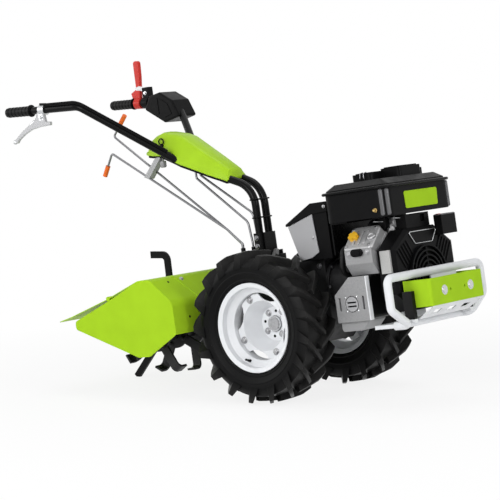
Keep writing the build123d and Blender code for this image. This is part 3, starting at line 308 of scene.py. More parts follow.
def calculated(tree, operation, *values):
    """The result of a math operation on one or two values."""
    node = tree.nodes.new("ShaderNodeMath")
    node.operation = operation
    for value, socket in zip(values, node.inputs):
        tree.links.new(value, socket)
    return node.outputs[0]


def length(tree, vector):
    """The length of a vector."""
    node = tree.nodes.new("ShaderNodeVectorMath")
    node.operation = "LENGTH"
    tree.links.new(vector, node.inputs[0])
    return node.outputs["Value"]


def machine_coordinates(tree, coordinate):
    """The machine's own x, y and z in millimetres."""
    node = tree.nodes.new("ShaderNodeMapping")
    node.vector_type = "TEXTURE"
    node.inputs["Location"].default_value = AXLE
    node.inputs["Rotation"].default_value = (0, -NOSE_UP, 0)
    node.inputs["Scale"].default_value = (MILLIMETRE, MILLIMETRE, MILLIMETRE)
    tree.links.new(coordinate, node.inputs["Vector"])
    split = tree.nodes.new("ShaderNodeSeparateXYZ")
    tree.links.new(node.outputs["Vector"], split.inputs["Vector"])
    return split.outputs


def coloured(tree, surface, tone, gloss):
    """Gives the surface its colour and its roughness."""
    tree.links.new(tone, surface.inputs["Base Color"])
    tree.links.new(gloss, surface.inputs["Roughness"])


def soft_edges(tree, radius):
    """A normal that rounds the edges by a radius in metres."""
    node = tree.nodes.new("ShaderNodeBevel")
    node.samples = BEVEL_SAMPLES
    node.inputs["Radius"].default_value = radius
    return node.outputs["Normal"]


def bumped(tree, height, depth, normal, surface):
    """Presses a height texture into the surface, depth in metres."""
    node = tree.nodes.new("ShaderNodeBump")
    node.inputs["Strength"].default_value = 1.0
    node.inputs["Distance"].default_value = depth
    tree.links.new(height, node.inputs["Height"])
    tree.links.new(normal, node.inputs["Normal"])
    tree.links.new(node.outputs["Normal"], surface.inputs["Normal"])


def orange_peel(tree, coordinate, edge, surface):
    """The faint waves of sprayed paint, over rounded edges."""
    waves = noise(tree, coordinate, PEEL_SIZE, detail=1.0)
    bumped(tree, waves, PEEL_DEPTH, soft_edges(tree, edge), surface)


def rubber_grain(tree, coordinate, surface):
    """The fine grain of moulded rubber, over rounded edges."""
    grain = noise(tree, coordinate, RUBBER_GRAIN_SIZE, detail=5.0)
    bumped(tree, grain, RUBBER_GRAIN_DEPTH, soft_edges(tree, 0.001), surface)


def scaled(colour, share):
    """A colour made lighter or darker."""
    return tuple(channel * share for channel in colour)


def clouded(tree, coordinate, surface, colour, mottle, roughness, spread):
    """Cloudy colour and uneven gloss."""
    clouds = ranged(tree, noise(tree, coordinate, CLOUD_SIZE), 0, 1)
    tone = mixed(tree, clouds, scaled(colour, 1 - mottle), scaled(colour, 1 + mottle))
    patches = noise(tree, coordinate, GLOSS_PATCH)
    coloured(tree, surface, tone, ranged(tree, patches, roughness - spread, roughness + spread))


# Materials


def paint(name, colour, roughness, specular, edge=0.0015):
    """Sprayed paint: a faint orange peel under an even gloss."""
    material, tree, surface, coordinate = shader(name, specular)
    clouded(tree, coordinate, surface, colour, mottle=0.035, roughness=roughness, spread=0.05)
    orange_peel(tree, coordinate, edge, surface)
    return material


def paint_with_painted_shade(name, colour, inner, box):
    """Paint with a second colour in a box, used as painted shade: ranges of machine x, of distance from the middle
    and of z.
    """
    material, tree, surface, coordinate = shader(name, specular=0.2)
    x, y, z = machine_coordinates(tree, coordinate)
    distance = calculated(tree, "ABSOLUTE", y)
    # Inside the box the paint takes the second colour, a painted shade
    shade_mask = between(tree, x, *box[0])
    for value, span in ((distance, box[1]), (z, box[2])):
        shade_mask = calculated(tree, "MULTIPLY", shade_mask, between(tree, value, *span))
    gloss = ranged(tree, noise(tree, coordinate, GLOSS_PATCH), 0.3, 0.42)
    coloured(tree, surface, mixed(tree, shade_mask, colour, inner), gloss)
    orange_peel(tree, coordinate, 0.0015, surface)
    return material


def plastic(name, colour, roughness, specular, grain=0.00004, edge=0.0018):
    """Moulded plastic with a fine etched grain."""
    material, tree, surface, coordinate = shader(name, specular)
    clouded(tree, coordinate, surface, colour, mottle=0.05, roughness=roughness, spread=0.06)
    etching = noise(tree, coordinate, PLASTIC_GRAIN_SIZE, detail=3.0)
    bumped(tree, etching, grain, soft_edges(tree, edge), surface)
    return material


def small_plastic(name, colour, roughness=0.35):
    """Smooth plastic, for pieces too small for a plain grain or widely rounded edges."""
    return plastic(name, colour, roughness, specular=0.2, grain=0.000003, edge=0.0004)


def rubber(name, colour, dust_and_sheen):
    """Black rubber with dusty patches and a fine grain."""
    material, tree, surface, coordinate = shader(name, specular=0.12)
    patches = ranged(tree, noise(tree, coordinate, 0.05, 6.0), 0, 1, 0.4, 0.75)
    gloss = ranged(tree, noise(tree, coordinate, 0.02), 0.34, 0.48)
    coloured(tree, surface, mixed(tree, patches, colour, dust_and_sheen), gloss)
    rubber_grain(tree, coordinate, surface)
    return material


def tyre_rubber(name, colour, dust_and_sheen):
    """Rubber that is dull and black on the sidewall and glossier on the lugs, with a painted sheen there: a
    lighter grey in patches in place of their highlight.
    """
    material, tree, surface, coordinate = shader(name, specular=0.09)
    x, _, z = machine_coordinates(tree, coordinate)
    flat = tree.nodes.new("ShaderNodeCombineXYZ")
    tree.links.new(x, flat.inputs["X"])
    tree.links.new(z, flat.inputs["Z"])
    radius = length(tree, flat.outputs["Vector"])
    # Painted sheen: the colour grows lighter towards the lugs' tops, in patches, in place of their highlight; the
    # lower roughness there is real gloss
    sheen_band = ranged(tree, radius, 0, 1, SHEEN_START, SHEEN_FULL)
    patches = ranged(tree, noise(tree, coordinate, 0.03, 6.0), 0.6, 1)
    sheen_share = calculated(tree, "MULTIPLY", sheen_band, patches)
    coloured(tree, surface, mixed(tree, sheen_share, colour, dust_and_sheen), ranged(tree, sheen_share, 0.5, 0.3, 0, 1))
    rubber_grain(tree, coordinate, surface)
    return material


def casting(name, colour, metallic, roughness, grain=0.00018):
    """Sand-cast metal: dark hollows, grey highs and a pebbly skin."""
    material, tree, surface, coordinate = shader(name, specular=0.3, metallic=metallic)
    pebbles = noise(tree, coordinate, CASTING_GRAIN_SIZE, detail=5.0)
    tone = mixed(tree, ranged(tree, pebbles, 0, 1), scaled(colour, 0.72), scaled(colour, 1.15))
    gloss = ranged(tree, noise(tree, coordinate, 0.03), roughness - 0.08, roughness + 0.1)
    coloured(tree, surface, tone, gloss)
    bumped(tree, pebbles, grain, soft_edges(tree, 0.002), surface)
    return material


def steel(name, colour, roughness):
    """Bright metal with fine drawn streaks."""
    material, tree, surface, coordinate = shader(name, specular=0.5, metallic=1.0)
    lines = noise(tree, stretched(tree, coordinate, STREAK_SHARES), STREAK_SIZE, detail=2.0)
    tone = mixed(tree, ranged(tree, lines, 0, 1), scaled(colour, 0.9), scaled(colour, 1.06))
    coloured(tree, surface, tone, ranged(tree, lines, roughness - 0.06, roughness + 0.08))
    bumped(tree, lines, STREAK_DEPTH, soft_edges(tree, 0.0012), surface)
    return material


FINISHES = (
    paint("lime_paint", LIME, roughness=0.36, specular=0.03, edge=0.0012),
    plastic("lime_plastic", LIME, roughness=0.36, specular=0.14, grain=0.00001),
    paint("white_paint", WHITE, roughness=0.36, specular=0.3),
    # The bumper's brackets are painted black as painted shade
    paint_with_painted_shade("bumper_paint_with_shade", WHITE, BLACK, BUMPER_BRACKET_SHADE),
    # The muffler guard's front wall is painted black as painted shade
    paint_with_painted_shade("muffler_paint_with_shade", GUARD_GREY, BLACK, MUFFLER_FRONT_SHADE),
    paint("black_paint", BLACK, roughness=0.26, specular=0.1),
    plastic("black_plastic", BLACK, roughness=0.36, specular=0.07, grain=0.00002),
    tyre_rubber("tyre_rubber", scaled(BLACK, 0.7), TREAD_SHEEN),
    rubber("grip_rubber", BLACK, GRIP_DUST),
    casting("grey_casting", CASTING_GREY, metallic=0.55, roughness=0.42),
    casting("dark_casting", CASTING_BLACK, metallic=0.0, roughness=0.46),
    casting("tiller_iron", TILLER_BLACK, metallic=0.0, roughness=0.48),
    steel("bare_steel", BRIGHT_STEEL, roughness=0.27),
    casting("blade_steel", BLADE_BLACK, metallic=0.1, roughness=0.42, grain=0.00008),
    casting("muffler_grey", GUARD_GREY, metallic=0.2, roughness=0.4, grain=0.00004),
    paint("cast_alloy", ALLOY_GREY, roughness=0.3, specular=0.5, edge=0.0005),
    small_plastic("yellow_plastic", YELLOW),
    small_plastic("orange_plastic", ORANGE),
    small_plastic("red_plastic", RED, roughness=0.33),
    paint("plate_grey", PLATE_GREY, roughness=0.38, specular=0.3, edge=0.0006),
    steel("bolt_grey", BOLT_STEEL, roughness=0.34),
    steel("rod_steel", DARK_STEEL, roughness=0.35),
    paint("rib_grey", RIB_GREY, roughness=0.2, specular=0.5),
    steel("brass", BRASS, roughness=0.3),
    casting("rough_alloy", ROUGH_ALLOY_GREY, metallic=0.6, roughness=0.5, grain=0.0004),
    # Black for holes and slots drawn as plugs: painted shade in the openings
    plastic("hole_shade_black", scaled(BLACK, 0.5), roughness=0.6, specular=0.1),
)
# A name that the frame already uses gets a dot and a number, which are left off here
MATERIALS = {finish.name.split(".")[0]: finish for finish in FINISHES}
SLOTS = {row["node"]: row["material_slot"] for row in frame["record"]["subparts"]}
SPECIAL_LOOKS = {
    "shroud_plates": "rough_alloy",
    "bumper": "bumper_paint_with_shade",
    "gear_rods": "rod_steel",
    "muffler": "muffler_paint_with_shade",
    "muffler_outlet": "plate_grey",
    "rod_bracket": "plate_grey",
}


def dress_cad():
    """Gives each CAD node the material of its slot, or its special look."""
    for name, node in frame["nodes"].items():
        node.data.materials.clear()
        node.data.materials.append(MATERIALS[SPECIAL_LOOKS.get(name, SLOTS[name])])


# Shapes for the fittings, drawn in machine millimetres


def turns(steps):
    """Even angles round a circle."""
    return [2 * pi * index / steps for index in range(steps)]


def rectangle(low, high):
    """The flat corners of a rectangle between two opposite ones."""
    return [low, (high[0], low[1]), high, (low[0], high[1])]


def on_front(points, x):
    """Flat (y, z) points, stood up at an x."""
    return [(x, y, z) for y, z in points]


def on_side(points, y):
    """Flat (x, z) points, stood up at a y."""
    return [(x, y, z) for x, z in points]


def on_top(points, z):
    """Flat (x, y) points, laid at a height."""
    return [(x, y, z) for x, y in points]


def axis_frame(place, direction):
    """A matrix whose Z axis runs along a direction from a place."""
    return Matrix.Translation(place) @ Vector(direction).to_track_quat("Z", "Y").to_matrix().to_4x4()


def bridge(shape, lower, upper):
    """A band of faces between two rings of points."""
    for index in range(len(lower)):
        following = (index + 1) % len(lower)
        shape.faces.new((lower[index], lower[following], upper[following], upper[index]))


def skin(shape, rings, closed=False):
    """Faces over a row of rings, joined end to end where closed, otherwise with both ends capped."""
    for lower, upper in zip(rings, rings[1:]):
        bridge(shape, lower, upper)
    if closed:
        bridge(shape, rings[-1], rings[0])
    else:
        shape.faces.new(rings[0][::-1])
        shape.faces.new(rings[-1])


def lathe(shape, profile, place, direction, steps=24, closed=False):
    """Turns a profile of (radius, height) points about an axis; a closed profile makes a hollow ring."""
    axis = axis_frame(place, direction)
    rings = []
    for radius, height in profile:
        circle = [(radius * cos(angle), radius * sin(angle), height) for angle in turns(steps)]
        rings.append([shape.verts.new(axis @ Vector(point)) for point in circle])
    skin(shape, rings, closed)


def wire_ring(shape, place, direction, radius, wire, sides):
    """A ring of round wire about an axis."""
    section = [(radius + wire * cos(angle), wire * sin(angle)) for angle in turns(sides)]
    lathe(shape, section, place, direction, closed=True)


def slab(shape, outline, depth):
    """A flat form between an outline of points and the same outline moved by a depth."""
    low = [shape.verts.new(point) for point in outline]
    high = [shape.verts.new(Vector(point) + Vector(depth)) for point in outline]
    shape.faces.new(low[::-1])
    shape.faces.new(high)
    bridge(shape, low, high)


def block(shape, low, high):
    """A block between two corners."""
    outline = on_top(rectangle(low[:2], high[:2]), low[2])
    slab(shape, outline, (0, 0, high[2] - low[2]))


def corner_arc(before, corner, after, radius, steps):
    """The points of an arc that rounds one corner of a line."""
    into = (before - corner).normalized()
    out = (after - corner).normalized()
    half = into.angle(out) / 2
    centre = corner + (into + out).normalized() * (radius / sin(half))
    start = corner + into * (radius / tan(half)) - centre
    end = corner + out * (radius / tan(half)) - centre
    return [centre + start.slerp(end, step / steps).normalized() * radius for step in range(steps + 1)]


def rounded(points, radius, closed=True, steps=6):
    """A line with its corners turned into arcs."""
    places = [Vector(point) for point in points]
    count = len(places)
    line = []
    for index in range(count):
        if not closed and index in (0, count - 1):
            line.append(places[index])
            continue
        line += corner_arc(places[index - 1], places[index], places[(index + 1) % count], radius, steps)
    return line


def sweep(shape, points, radius, reference, closed=False, sides=10):
    """A round bar along a line of points; reference is a direction that the line never takes."""
    places = [Vector(point) for point in points]
    count = len(places)
    rings = []
    for index, place in enumerate(places):
        before = places[index - 1] if closed or index else place
        after = places[(index + 1) % count] if closed or index < count - 1 else place
        along = (after - before).normalized()
        across = along.cross(reference).normalized()
        over = across.cross(along)
        ring = [place + (across * cos(angle) + over * sin(angle)) * radius for angle in turns(sides)]
        rings.append([shape.verts.new(point) for point in ring])
    skin(shape, rings, closed)


def bolt(shape, place, direction, size, tall=1.0):
    """A hexagon head on a round washer; size is the head's width, tall its height's share of the usual."""
    high = size * tall
    washer = [(size * 0.72, 0), (size * 0.72, high * 0.1), (size * 0.66, high * 0.15)]
    head = [(size * 0.54, high * 0.14), (size * 0.54, high * 0.46), (size * 0.44, high * 0.54)]
    lathe(shape, washer, place, direction)
    lathe(shape, head, place, direction, steps=6)


def side_bolts(name, finish, heads, body="chassis"):
    """Bolts on both sides of the machine; a head is an x, a distance from the middle, a z and a size."""
    shape = bmesh.new()
    for side in SIDES:
        for x, out, z, size in heads:
            bolt(shape, (x, side * out, z), LEFT * side, size)
    new_piece(name, shape, finish, body, edge=0.4)


def rivet(shape, place, direction, radius):
    """A low domed head."""
    dome = [(1, 0), (0.9, 0.3), (0.6, 0.5), (0.2, 0.56)]
    lathe(shape, [(radius * out, radius * up) for out, up in dome], place, direction, steps=16)


def ball(shape, place, radius):
    """A ball with a small flat at each pole."""
    rows = 10
    profile = [(radius * sin(pi * row / rows), -radius * cos(pi * row / rows)) for row in range(1, rows)]
    lathe(shape, profile, place, UP)


def new_piece(name, shape, finish, body="chassis", edge=0.0, sharp=35):
    """Turns a shape into a piece of the object that rides on a body."""
    bmesh.ops.recalc_face_normals(shape, faces=shape.faces)
    mesh = bpy.data.meshes.new(name)
    shape.to_mesh(mesh)
    shape.free()
    mesh.transform(MACHINE)
    mesh.materials.append(MATERIALS[finish])
    mesh.shade_smooth()
    mesh.set_sharp_from_angle(angle=radians(sharp))
    piece = bpy.data.objects.new(name, mesh)
    bpy.context.scene.collection.objects.link(piece)
    if edge:
        rounding = piece.modifiers.new("rounded edges", "BEVEL")
        rounding.width = edge * MILLIMETRE
        rounding.segments = 2
        rounding.limit_method = "ANGLE"
        rounding.angle_limit = radians(sharp)
    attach(piece, body)
    return piece


# Wheels


def wheel_point(side, radius, degrees_up, out):
    """A place on a wheel at an angle from straight ahead upwards, at a distance from the middle plane."""
    angle = radians(degrees_up)
    return Vector((radius * cos(angle), side * out, radius * sin(angle)))


def carcass_profile():
    """The (radius, y) line round the tyre's section, with a rim rib and a sidewall rib on each side."""
    bead = [(157, 54), (169.6, 60), (174, 65.5)]
    rim_rib = [(177, 66.5), (178, 69), (181, 69.8), (182.5, 68)]
    wall = [(190, 71), (200, 75)]
    wall_rib = [(203, 77), (206, 77.6), (208, 76.4)]
    shoulder = [(222, 79), (230, 79), (256, 60), (CROWN_RADIUS, 20)]
    outer = bead + rim_rib + wall + wall_rib + shoulder
    return outer + [(CROWN_RADIUS + 0.5, 0)] + [(radius, -y) for radius, y in outer[::-1]]


def lug_section(out):
    """Foot and top of a lug's section at a distance out from the tyre's middle: (x, y, radius) points."""
    share = (out - LUG_INNER_END) / (LUG_LINE_END - LUG_INNER_END)
    middle = LUG_LEAN * share
    half = LUG_HALF_WIDTH * (1 + LUG_WIDENING * share)
    fall = max(0.0, out - LUG_FALL_START)
    top = TYRE_RADIUS - fall * LUG_END_FALL / LUG_FALL_REACH
    foot = CROWN_RADIUS - LUG_FOOT_DEPTH - fall * LUG_FOOT_FALL
    section = []
    for edge, radius in ((-1, foot), (-1, top), (1, top), (1, foot)):
        reach = half - tan(LUG_TAPER) * (radius - LUG_ROOT)
        section.append((middle + edge * reach, out, radius))
    return section


def add_lug(shape, side, hand, turn):
    """One bar lug, turned about the axle; hand is 1 on the outer half of the tread and -1 on the inner."""
    rotation = Matrix.Rotation(turn, 4, "Y")
    rings = []
    for out in LUG_STATIONS:
        ring = []
        for x, y, radius in lug_section(out):
            place = rotation @ Vector((x, 0, sqrt(radius**2 - x**2)))
            ring.append(shape.verts.new(place + LEFT * side * (HALF_TRACK + hand * y)))
        rings.append(ring)
    skin(shape, rings)


def tyre(name, side):
    """A round carcass with bar lugs in a chevron, in place of the faceted CAD tyre."""
    shape = bmesh.new()
    lathe(shape, carcass_profile(), (0, side * HALF_TRACK, 0), LEFT, steps=6 * LUG_COUNT, closed=True)
    step = 2 * pi / LUG_COUNT
    for index in range(LUG_COUNT):
        add_lug(shape, side, 1, LUG_START + NOSE_UP + step * index)
        add_lug(shape, side, -1, LUG_START + NOSE_UP + step * (index + 0.5))
    piece = new_piece(name + "_lugged_tyre", shape, "tyre_rubber", name + "_wheel", edge=2.4, sharp=38)
    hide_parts(name + "_tyre")


def wheel_bolts(name, side):
    """Bolts on the disc's lobes and on the hub."""
    shape = bmesh.new()
    outward = LEFT * side
    for index in range(WHEEL_BOLTS):
        turn = WHEEL_BOLT_STEP * index
        bolt(shape, wheel_point(side, LOBE_RADIUS, LOBE_TURN + turn, LOBE_FACE), outward, LOBE_BOLT)
        bolt(shape, wheel_point(side, HUB_BOLT_RADIUS, HUB_BOLT_TURN + turn, HUB_FACE), outward, HUB_BOLT)
    new_piece(name + "_wheel_bolts", shape, "bolt_grey", name + "_wheel", edge=0.5)


def hub_face(name, side):
    """The stepped ring and centre point of the hub's cap."""
    shape = bmesh.new()
    ring = [(25, 0), (25, 2.5), (23.5, 4), (17, 4), (15.5, 1.5)]
    centre = [(6, 1.5), (5, 3), (1.5, 3.4)]
    lathe(shape, ring + centre, (0, side * CAP_FACE, 0), LEFT * side, steps=40)
    new_piece(name + "_hub_face", shape, "plate_grey", name + "_wheel", edge=0.4)


def hub_holes(name, side):
    """Small holes between the hub's bolts, drawn as black discs: painted shade for the openings."""
    shape = bmesh.new()
    hole = [(5.5, 0), (5.5, 0.8), (4, 0.8), (3.4, 0.3)]
    for index in range(WHEEL_BOLTS):
        turn = HUB_BOLT_TURN + WHEEL_BOLT_STEP * (index + 0.5)
        lathe(shape, hole, wheel_point(side, HUB_BOLT_RADIUS, turn, HUB_FACE), LEFT * side, steps=16)
    new_piece(name + "_hub_holes", shape, "hole_shade_black", name + "_wheel")


def valve(name, side):
    """The tyre valve with its cap, leaning to the axle."""
    shape = bmesh.new()
    place = wheel_point(side, VALVE_RADIUS, VALVE_TURN, VALVE_SEAT)
    lean = LEFT * side - wheel_point(side, VALVE_LEAN, VALVE_TURN, 0)
    stem = [(6.5, -4), (6.5, 4), (5, 7), (4.6, 20), (3.4, 22), (3.4, 25)]
    cap = [(4, 26), (4, 34), (3, 36)]
    lathe(shape, stem + cap, place, lean, steps=16)
    new_piece(name + "_valve", shape, "grip_rubber", name + "_wheel")


def wheels():
    for name, side in zip(("right", "left"), SIDES):
        tyre(name, side)
        wheel_bolts(name, side)
        hub_face(name, side)
        hub_holes(name, side)
        valve(name, side)


# Engine and gearbox


def bank_point(side, x, distance, offset):
    """A place on one bank of the V: along the crankshaft, out from it, and down across the bank."""
    slant = sqrt(0.5)
    y = side * (distance + offset) * slant
    return Vector((CYLINDER_X + x, y, CRANK_HEIGHT + (distance - offset) * slant))


def bank_outline(side, distance, low, high, corner):
    """A round-cornered rectangle square to a bank, between two (x, offset) corners."""
    return rounded([bank_point(side, x, distance, offset) for x, offset in rectangle(low, high)], corner)


def valve_cover_flanges():
    """A flange round the foot of each rocker cover, with ribs and a boss on its top."""
    shape = bmesh.new()
    half = COVER_RIB_HALF
    boss = [(17, 0), (17, 9), (14, 11), (9, 11), (8, 8)]
    for side in SIDES:
        outward = Vector((0, side, 1)).normalized()
        slab(shape, bank_outline(side, COVER_FLANGE_SEAT, (-70, -60), (70, 60), 20), outward * 10)
        for x in COVER_RIBS:
            slab(shape, bank_outline(side, COVER_TOP, (x - half, -30), (x + half, 34), 4), outward * 8)
        lathe(shape, boss, bank_point(side, 48, COVER_TOP, 2), outward)
    new_piece("valve_cover_flanges", shape, "grey_casting", edge=1.2)


def valve_cover_bolts():
    """Four bolts on the top of each rocker cover."""
    shape = bmesh.new()
    for side in SIDES:
        outward = Vector((0, side, 1)).normalized()
        for x in (-50, 50):
            for offset in (-40, 40):
                bolt(shape, bank_point(side, x, COVER_TOP, offset), outward, 13)
    new_piece("valve_cover_bolts", shape, "bolt_grey", edge=0.4)


def breather_cover():
    """The oval cover on the right air guide, with a smaller raised top."""
    shape = bmesh.new()
    foot = rectangle((428, 211), (478, 239))
    slab(shape, rounded(on_side(foot, -SHIELD_SIDE), 13.5, steps=8), LEFT * -BREATHER_DEPTH)
    top = rectangle((435, 214.92), (471, 235.08))
    slab(shape, rounded(on_side(top, -SHIELD_SIDE - BREATHER_DEPTH), 9.5), LEFT * -3)
    new_piece("breather_cover", shape, "black_plastic", edge=2.0)


def shield_bolts():
    """Two bolts on each air guide."""
    side_bolts("shield_bolts", "bolt_grey", [(412, SHIELD_SIDE, 222, 13), (496, SHIELD_SIDE, 224, 13)])


def carburettor_bowl():
    """The flanged throat of the carburettor and the float bowl under it."""
    shape = bmesh.new()
    throat = [(20, 0), (20, 6), (16, 8), (16, 44), (21, 46), (21, 54), (14, 54)]
    lathe(shape, throat, THROAT, FORWARD)
    bowl = [(8, 0), (19, 3), (21, 8), (21, 30), (23, 31), (23, 36), (12, 37)]
    lathe(shape, bowl, BOWL_FOOT, UP)
    new_piece("carburettor_bowl", shape, "grey_casting", edge=0.8)


def intake_elbows():
    """A bent pipe from the carburettor down to each cylinder."""
    shape = bmesh.new()
    for side in SIDES:
        bend = [(side * 40, INTAKE_HEIGHT), (side * 92, INTAKE_HEIGHT), (side * 112, 286)]
        sweep(shape, rounded(on_front(bend, CYLINDER_X), 20, closed=False), 15, FORWARD, sides=16)
    new_piece("intake_elbows", shape, "dark_casting")


def throttle_rods():
    """Two bent rods beside the carburettor."""
    shape = bmesh.new()
    front = [(498, -84, 334), (540, -92, 330), (556, -60, 326), (562, -40, 312)]
    sweep(shape, rounded(front, 8, closed=False), 2.5, UP)
    rear = [(505, -86, 320), (505, -112, 322), (470, -122, 326)]
    sweep(shape, rounded(rear, 6, closed=False), 2.2, UP)
    new_piece("throttle_rods", shape, "bare_steel")


def badge_frame():
    """A pale frame round the cowl's bare badge."""
    shape = bmesh.new()
    corners = [(-86, 272), (86, 272), (52, 228), (-52, 228)]
    sweep(shape, rounded(on_front(corners, COWL_FRONT + 3), 5), 1.6, FORWARD, closed=True, sides=8)
    new_piece("badge_frame", shape, "bare_steel")


def connector_rim():
    """The rolled rim of the open electrical box."""
    shape = bmesh.new()
    corners = rectangle((589, 85), (621, 173))
    sweep(shape, rounded(on_top(corners, BOX_RIM_HEIGHT), 6), 2.4, UP, closed=True, sides=8)
    new_piece("connector_rim", shape, "rib_grey")


def fuel_solenoid():
    """The solenoid beside the float bowl, with its plug below."""
    shape = bmesh.new()
    block(shape, (484, -112, 296), (514, -84, 334))
    lathe(shape, [(9, 0), (9, 4), (6, 6), (6, 14)], (499, -98, 296), -UP)
    new_piece("fuel_solenoid", shape, "black_plastic", edge=2.0)


def connectors():
    """Red and white plugs in the open electrical box."""
    red = bmesh.new()
    block(red, (592, 92, 300), (606, 108, 322))
    block(red, (592, 132, 304), (604, 146, 320))
    new_piece("red_connectors", red, "red_plastic", edge=1.5)
    white = bmesh.new()
    block(white, (606, 94, 296), (616, 112, 316))
    block(white, (594, 112, 298), (606, 128, 318))
    new_piece("white_connectors", white, "white_paint", edge=1.5)


def outlet_rivets():
    """Four rivets round the muffler's outlet."""
    shape = bmesh.new()
    for index in range(4):
        angle = radians(45 + 90 * index)
        reach = Vector((OUTLET_RIVET_RADIUS * cos(angle), 0, OUTLET_RIVET_RADIUS * sin(angle)))
        rivet(shape, OUTLET + reach, -LEFT, 4.5)
    new_piece("outlet_rivets", shape, "bare_steel")


def outlet_slots():
    """Two slots in the muffler's outlet, drawn as black blocks: painted shade for the openings."""
    shape = bmesh.new()
    for z in OUTLET_SLOTS:
        low = (OUTLET.x - SLOT_HALF_LENGTH, OUTLET.y + 2.6, z - SLOT_HALF_HEIGHT)
        high = (OUTLET.x + SLOT_HALF_LENGTH, OUTLET.y + 4.2, z + SLOT_HALF_HEIGHT)
        block(shape, low, high)
    new_piece("outlet_slots", shape, "hole_shade_black", edge=0.3)


def guard_fold_highlight():
    """The folded front edge of the muffler's guard, in white as a painted highlight along the fold."""
    shape = bmesh.new()
    block(shape, (466, -GUARD_SIDE - 1.5, -19), (471, -196, 140))
    new_piece("guard_fold_highlight", shape, "white_paint", edge=1.5)


def housing_bolts():
    """Bolts of the gearbox, the clutch bell and the tiller's neck."""
    shape = bmesh.new()
    for side in SIDES:
        for x, z in GEARBOX_UPPER_BOLTS + GEARBOX_LOWER_BOLTS:
            bolt(shape, (x, side * GEARBOX_SIDE, z), LEFT * side, 15)
    for angle in turns(8):
        rim = Vector((0, BELL_BOLT_RADIUS * cos(angle), CRANK_HEIGHT + BELL_BOLT_RADIUS * sin(angle)))
        bolt(shape, rim + FORWARD * BELL_REAR_FACE, FORWARD, 9)
        bolt(shape, rim + FORWARD * BELL_FRONT_FACE, -FORWARD, 9)
    for angle in turns(6):
        y = NECK_BOLT_RADIUS * cos(angle)
        bolt(shape, (NECK_FACE, y, NECK_HEIGHT + NECK_BOLT_RADIUS * sin(angle)), -FORWARD, 13)
    new_piece("housing_bolts", shape, "rod_steel", edge=0.4)


def engine():
    valve_cover_flanges()
    valve_cover_bolts()
    breather_cover()
    shield_bolts()
    carburettor_bowl()
    intake_elbows()
    throttle_rods()
    badge_frame()
    connector_rim()
    fuel_solenoid()
    connectors()
    outlet_rivets()
    outlet_slots()
    guard_fold_highlight()
    housing_bolts()


# Tank, battery and front plate


def tank_edge():
    """The rolled edge round the tank's seam."""
    shape = bmesh.new()
    half = TANK_HALF_WIDTH + TANK_LIP
    corners = rectangle((TANK_REAR - TANK_LIP, -half), (TANK_FRONT + TANK_LIP, half))
    plan = rounded(on_top(corners, TANK_SEAM + TANK_LIP / 2), TANK_CORNER + TANK_LIP, steps=10)
    sweep(shape, plan, 5.5, UP, closed=True, sides=12)
    new_piece("tank_edge", shape, "black_paint")


def tank_panel():
    """The bare lime panel on the tank's front."""
    shape = bmesh.new()
    corners = [(-88, 358), (110, 358), (115, 420), (-91, 420)]
    slab(shape, rounded(on_front(corners, TANK_FRONT), 7), FORWARD * 1.6)
    new_piece("tank_panel", shape, "lime_paint", edge=0.6)


def tank_ribs():
    """Two upright ribs on each front corner of the tank, in a grey lighter than the tank's black: partly a real
    rib, partly a painted highlight of the rounded corner.
    """
    shape = bmesh.new()
    rib = [(5, 344), (8, 348), (8, 435), (5, 439)]
    for side in SIDES:
        corner = Vector((TANK_FRONT - TANK_CORNER, side * (TANK_HALF_WIDTH - TANK_CORNER), 0))
        for turn in TANK_RIB_TURNS:
            reach = Vector((cos(radians(turn)), side * sin(radians(turn)), 0)) * TANK_CORNER
            lathe(shape, rib, corner + reach, UP, steps=16)
    new_piece("tank_ribs", shape, "rib_grey")


def tank_plug():
    """A brass drain plug on the tank's right side."""
    shape = bmesh.new()
    plug = [(9, 0), (9, 3), (6, 5), (6, 11), (4, 13)]
    lathe(shape, plug, (548, -TANK_HALF_WIDTH, 366), -LEFT, steps=6)
    new_piece("tank_plug", shape, "brass", edge=0.5)


def filter_lids():
    """Raised lids on the two halves of the air filter."""
    shape = bmesh.new()
    rear = rectangle((383, -82), (457, 60))
    slab(shape, rounded(on_top(rear, TANK_CROWN + 26), 14), UP * FILTER_LID_DEPTH)
    front = rectangle((453, 0), (527, 118))
    slab(shape, rounded(on_top(front, TANK_CROWN + 36), 12), UP * FILTER_LID_DEPTH)
    new_piece("filter_lids", shape, "black_plastic", edge=1.2)


def filter_clips():
    """Two wire clips over the edge of the air filter."""
    shape = bmesh.new()
    bow = [(-92, TANK_CROWN + 4), (-98, TANK_CROWN + 10), (-96, TANK_CROWN + 28), (-78, TANK_CROWN + 31)]
    for x in FILTER_CLIPS:
        sweep(shape, rounded(on_front(bow, x), 5, closed=False), 1.8, FORWARD)
    new_piece("filter_clips", shape, "rod_steel")


def battery_screws():
    """Two screws on each side of the battery box."""
    heads = [(208, BATTERY_SIDE, 298, 8), (278, BATTERY_SIDE + 3, 406, 9)]
    side_bolts("battery_screws", "bolt_grey", heads)


def plate_bolts():
    """Two flat bolts on the front plate."""
    shape = bmesh.new()
    for side in SIDES:
        bolt(shape, (PLATE_FRONT, side * PLATE_BOLT_SIDE, PLATE_MIDDLE), FORWARD, 25, tall=0.3)
    new_piece("plate_bolts", shape, "bare_steel", edge=0.6)


def tank_and_front():
    tank_edge()
    tank_panel()
    tank_ribs()
    tank_plug()
    filter_lids()
    filter_clips()
    battery_screws()
    plate_bolts()


# Handlebar and controls


def grip_ring(height, half_foot, half_top):
    """The section of a ring that stands up from a grip."""
    foot, top = GRIP_RADIUS - 1, GRIP_RADIUS + height
    return [(foot, -half_foot), (top, -half_top), (top, half_top), (foot, half_foot)]


